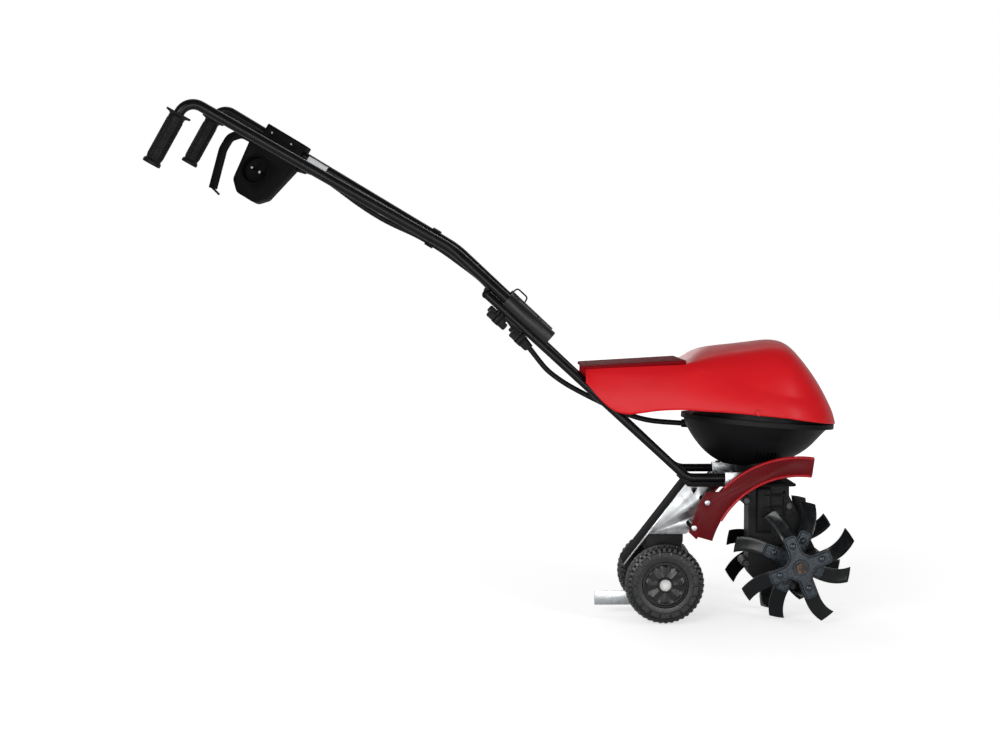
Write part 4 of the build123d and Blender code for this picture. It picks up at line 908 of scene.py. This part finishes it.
def guard_beads():
    bm = bmesh.new()
    for side in SIDES.values():
        for radius, start, end in GUARD_EDGES:
            before = set(bm.verts)
            bmesh.ops.create_circle(bm, cap_ends=True, radius=BEAD_R * MM, segments=16)
            ring = added(bm, before)
            edges = {e for v in ring for e in v.link_edges}
            faces = {f for v in ring for f in v.link_faces}
            place_verts(bm, ring, Matrix.Translation((radius * MM, 0, 0)))
            bmesh.ops.spin(bm, geom=[*ring, *edges, *faces], cent=(0, 0, 0), axis=(0, -1, 0),
                           angle=radians(end - start), steps=48)
            place = Matrix.Translation(on_shaft(side * GUARD_HALF))
            turn = Matrix.Rotation(-radians(start), 4, "Y")
            place_verts(bm, added(bm, before), place @ turn)
    bmesh.ops.recalc_face_normals(bm, faces=bm.faces[:])
    # The rolled edges take a brighter red than the mudguard: a painted highlight.
    piece("mudguard_beads", bm, "chassis", "red_paint", material=BEAD_HIGHLIGHT_RED)


# Gear case: cast ribs on both flat faces. Each bar has its width, height and place.

CASE_FACE = 30.0
CASE_BARS = ((30, 92, -52, 207), (46, 5, -32, 190), (46, 5, -32, 213), (46, 5, -32, 236),
             (5, 60, -12, 215))
BAR_T, BAR_OUT, BAR_ROUND = 5.0, 2.2, 1.4
CASE_SPOKES = (20, 75, 130, 235, 290)
SPOKE_SIZE, SPOKE_AT, SPOKE_ROUND = (4.0, 5.0, 22.0), (1.6, 0, 41), 1.2
CAST_TAPER = 0.86
BOSS_PROFILE = ((21, 0), (21, 5.2), (22, 6), (28, 6), (29.5, 5), (31, 0))


def case_ribs():
    bm = bmesh.new()
    for side in SIDES.values():
        outward = (0, side, 0)
        for width, height, x, z in CASE_BARS:
            bar = moulded_block(bm, (BAR_T, width, height), (0, 0, 0), CAST_TAPER, BAR_ROUND)
            at = from_shaft(x, side * (CASE_FACE + BAR_OUT), z)
            place_verts(bm, bar, facing(at, (0, 0, 1), outward))
        ring = turned(bm, BOSS_PROFILE, steps=48)
        face = on_shaft(side * CASE_FACE)
        place_verts(bm, ring, facing(face, outward))
        for angle in CASE_SPOKES:
            spoke = moulded_block(bm, SPOKE_SIZE, SPOKE_AT, CAST_TAPER, SPOKE_ROUND)
            along = (cos(radians(angle)), 0, sin(radians(angle)))
            place_verts(bm, spoke, facing(face, along, outward))
    bmesh.ops.recalc_face_normals(bm, faces=bm.faces[:])
    piece("gear_case_ribs", bm, "chassis", "case_alloy")


# Cables: smooth lines through the same points as the CAD tubes, in metres

CABLE_R = 0.00525
UPPER_ROUTE = (
    (-0.4378, 0.1897, 0.8768), (-0.3822, 0.1756, 0.8601), (-0.3573, 0.1683, 0.8451),
    (-0.3259, 0.1586, 0.8220), (-0.2931, 0.1483, 0.7975), (-0.2590, 0.1381, 0.7751),
    (-0.2250, 0.1284, 0.7563), (-0.1755, 0.1150, 0.7348), (-0.1257, 0.1004, 0.7047),
    (-0.0819, 0.0910, 0.6722), (-0.0537, 0.0820, 0.6512), (-0.0296, 0.0750, 0.6257),
    (-0.0130, 0.0700, 0.5923), (0.0070, 0.0630, 0.5625), (0.0254, 0.0630, 0.5383))
LOWER_ROUTE = (
    (0.0438, 0.0630, 0.5141), (0.0623, 0.0630, 0.4899), (0.0787, 0.0620, 0.4700),
    (0.1097, 0.0610, 0.4470), (0.1437, 0.0600, 0.4280), (0.1817, 0.0570, 0.4090),
    (0.2197, 0.0540, 0.3910), (0.2577, 0.0500, 0.3770), (0.2997, 0.0460, 0.3700),
    (0.3697, 0.0450, 0.3670))

def cable(name, route, node):
    curve = bpy.data.curves.new(name, "CURVE")
    curve.dimensions = "3D"
    curve.bevel_depth = CABLE_R
    curve.bevel_resolution = 6
    curve.resolution_u = 10
    curve.use_fill_caps = True
    spline = curve.splines.new("NURBS")
    spline.points.add(len(route) - 1)
    for point, place in zip(spline.points, route):
        point.co = (*place, 1)
    spline.order_u = 3
    spline.use_endpoint_u = True
    curve.materials.append(FINISHES["cable_rubber"])
    made = bpy.data.objects.new(name, curve)
    bpy.context.scene.collection.objects.link(made)
    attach(made, "chassis")
    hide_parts(node)


# Stage, in metres and watts: each light has its name, place, target, size and power

LIGHTS = (
    ("key", (-1.4, -3.2, 1.5), (0.1, 0, 0.45), (1.8, 0.8), 43),
    ("fill", (2.4, -2.6, 0.9), (0.3, 0, 0.3), (0.4, 1.6), 25),
    ("back", (0.2, 1.6, 2.6), (0.1, 0, 0.4), (3.0, 0.3), 7),
    ("rear", (-0.6, 3.4, 1.3), (0.0, 0, 0.45), (2.4, 1.0), 16),
    ("low", (0.1, -2.4, 0.27), (0.3, 0, 0.42), (2.4, 0.42), 19),
)
WHITE = (1, 1, 1, 1)
SKY_LIGHT = 0.2
DARK_SIDE, BRIGHT_SIDE = (-0.1, 0.06), (0.6, 0.6)
FLOOR_HALF = 12
FLOOR_Z = -0.0005
FLOOR_COLOUR, FLOOR_ROUGHNESS = (0.9, 0.9, 0.9, 1), 0.9
FLOOR_IN_GLOSS = 0.15
NEAR_GLOW, FAR_GLOW = (0.9, 0.6), (3.5, 0.92)
FOCAL_LENGTH, SENSOR_WIDTH = 68.79, 36
CAMERA_AT = (SHAFT.x - 0.62402, -3.66335, 0.6611)
CAMERA_DOWN, CAMERA_RIGHT = 0.0535, 0.0184


def joined(nodes, links, operation, first, second):
    """Two values, or a value and a plain number, brought together."""
    node = nodes.new("ShaderNodeMath")
    node.operation = operation
    for socket, value in zip(node.inputs, (first, second)):
        if isinstance(value, float):
            socket.default_value = value
        else:
            links.new(value, socket)
    return node.outputs[0]


def seen_directly(nodes, links, in_gloss):
    """How much a ray sees of the background: all from the camera and through glass."""
    rays = nodes.new("ShaderNodeLightPath").outputs
    gloss = joined(nodes, links, "MULTIPLY", rays["Is Glossy Ray"], in_gloss)
    direct = joined(nodes, links, "MAXIMUM", rays["Is Camera Ray"], rays["Is Transmission Ray"])
    return joined(nodes, links, "MAXIMUM", direct, gloss)


def studio():
    """A white surround that lights softly and lies in gloss from behind the object."""
    world = bpy.data.worlds.new("studio")
    bpy.context.scene.world = world
    world.use_nodes = True
    nodes, links = world.node_tree.nodes, world.node_tree.links
    background = nodes["Background"].inputs
    background["Color"].default_value = WHITE
    way = nodes.new("ShaderNodeSeparateXYZ")
    links.new(nodes.new("ShaderNodeTexCoord").outputs["Generated"], way.inputs[0])
    (start, low), (end, high) = DARK_SIDE, BRIGHT_SIDE
    backdrop = ranged(nodes, links, way.outputs["Y"], start, end, low, high)
    scattered = nodes.new("ShaderNodeLightPath").outputs["Is Diffuse Ray"]
    sky = ranged(nodes, links, scattered, 0, 1, 0, SKY_LIGHT)
    strength = joined(nodes, links, "MAXIMUM", seen_directly(nodes, links, backdrop), sky)
    links.new(strength, background["Strength"])


def floor_paper():
    """Pale paper that glows towards the camera, more so away from the object."""
    paper = bpy.data.materials.new("floor_paper")
    paper.use_nodes = True
    nodes, links = paper.node_tree.nodes, paper.node_tree.links
    shader = nodes["Principled BSDF"].inputs
    shader["Base Color"].default_value = FLOOR_COLOUR
    shader["Roughness"].default_value = FLOOR_ROUGHNESS
    shader["Emission Color"].default_value = WHITE
    away = nodes.new("ShaderNodeVectorMath")
    away.operation = "LENGTH"
    links.new(nodes.new("ShaderNodeTexCoord").outputs["Object"], away.inputs[0])
    (start, low), (end, high) = NEAR_GLOW, FAR_GLOW
    glow = ranged(nodes, links, away.outputs["Value"], start, end, low, high)
    glow = joined(nodes, links, "MULTIPLY", seen_directly(nodes, links, FLOOR_IN_GLOSS), glow)
    links.new(glow, shader["Emission Strength"])
    return paper


def ground():
    bm = bmesh.new()
    bmesh.ops.create_grid(bm, x_segments=1, y_segments=1, size=FLOOR_HALF)
    mesh = bpy.data.meshes.new("floor")
    bm.to_mesh(mesh)
    bm.free()
    mesh.materials.append(floor_paper())
    floor = bpy.data.objects.new("floor", mesh)
    floor.location.z = FLOOR_Z
    bpy.context.scene.collection.objects.link(floor)


def area_light(name, place, target, size, power):
    data = bpy.data.lights.new(name, "AREA")
    data.shape = "RECTANGLE"
    data.size, data.size_y = size
    data.energy = power
    lamp = bpy.data.objects.new(name, data)
    lamp.location = place
    lamp.rotation_euler = (Vector(target) - Vector(place)).to_track_quat("-Z", "Y").to_euler()
    bpy.context.scene.collection.objects.link(lamp)


def side_camera():
    lens = bpy.data.cameras.new("camera")
    lens.sensor_width = SENSOR_WIDTH
    lens.lens = FOCAL_LENGTH
    camera = bpy.data.objects.new("camera", lens)
    camera.location = CAMERA_AT
    camera.rotation_euler = (pi / 2 - CAMERA_DOWN, 0, -CAMERA_RIGHT)
    bpy.context.scene.collection.objects.link(camera)
    bpy.context.scene.camera = camera


def stage():
    bpy.context.scene.view_settings.view_transform = "Standard"
    studio()
    ground()
    for light in LIGHTS:
        area_light(*light)
    side_camera()


# The whole machine. Nodes that keep their CAD shape are given the width of their rounded edges.

SMOOTH_TUBES = ("frame_tube_left", "frame_tube_right", "handlebar_left", "handlebar_right")
KNOBS = ("wing_knob_left_low", "wing_knob_left_high", "wing_knob_right_low",
         "wing_knob_right_high")
BACKWARDS = -0.5
RED_ABOVE = 350


# Faces turned backwards, which take painted shade on the wheel bracket.
def painted_shade_faces(face):
    return face.normal.x < BACKWARDS


def on_bonnet(face):
    return face.calc_center_median().z > RED_ABOVE * MM


dress_cad()
stage()
bonnet()
wheels()
axle_caps()
tine_blades()
star_plates()
rivets()
grips()
label()
screw_heads()
inlet_collar()
tail_deck()
guard_beads()
case_ribs()
tube_domes()
for tube in SMOOTH_TUBES:
    smoothed(tube)
softened("switch_box", 1.6)
softened("switch_cover", 1.6)
softened("switch_bracket", 1.2)
softened("switch_lever", 1.0, "lever")
softened("clamp_sleeves", 0.8)
softened("frame_saddles", 0.8)
softened("mudguard", 0.7)
# The back faces of the wheel bracket are painted matt black as painted shade.
softened("wheel_bracket", 0.8, second=MATT_BLACK_AND_PAINTED_SHADE, picks=painted_shade_faces)
softened("axle_carrier", 1.5)
softened("foot_spur", 0.8)
softened("chassis_plate", 0.8)
for knob in KNOBS:
    softened(knob, 1.0, knob)
softened("cover_screws", 0.6, second=FINISHES["red_plastic"], picks=on_bonnet)
cable("cable_above_joint", UPPER_ROUTE, "motor_cable_upper")
cable("cable_below_joint", LOWER_ROUTE, "motor_cable_lower")
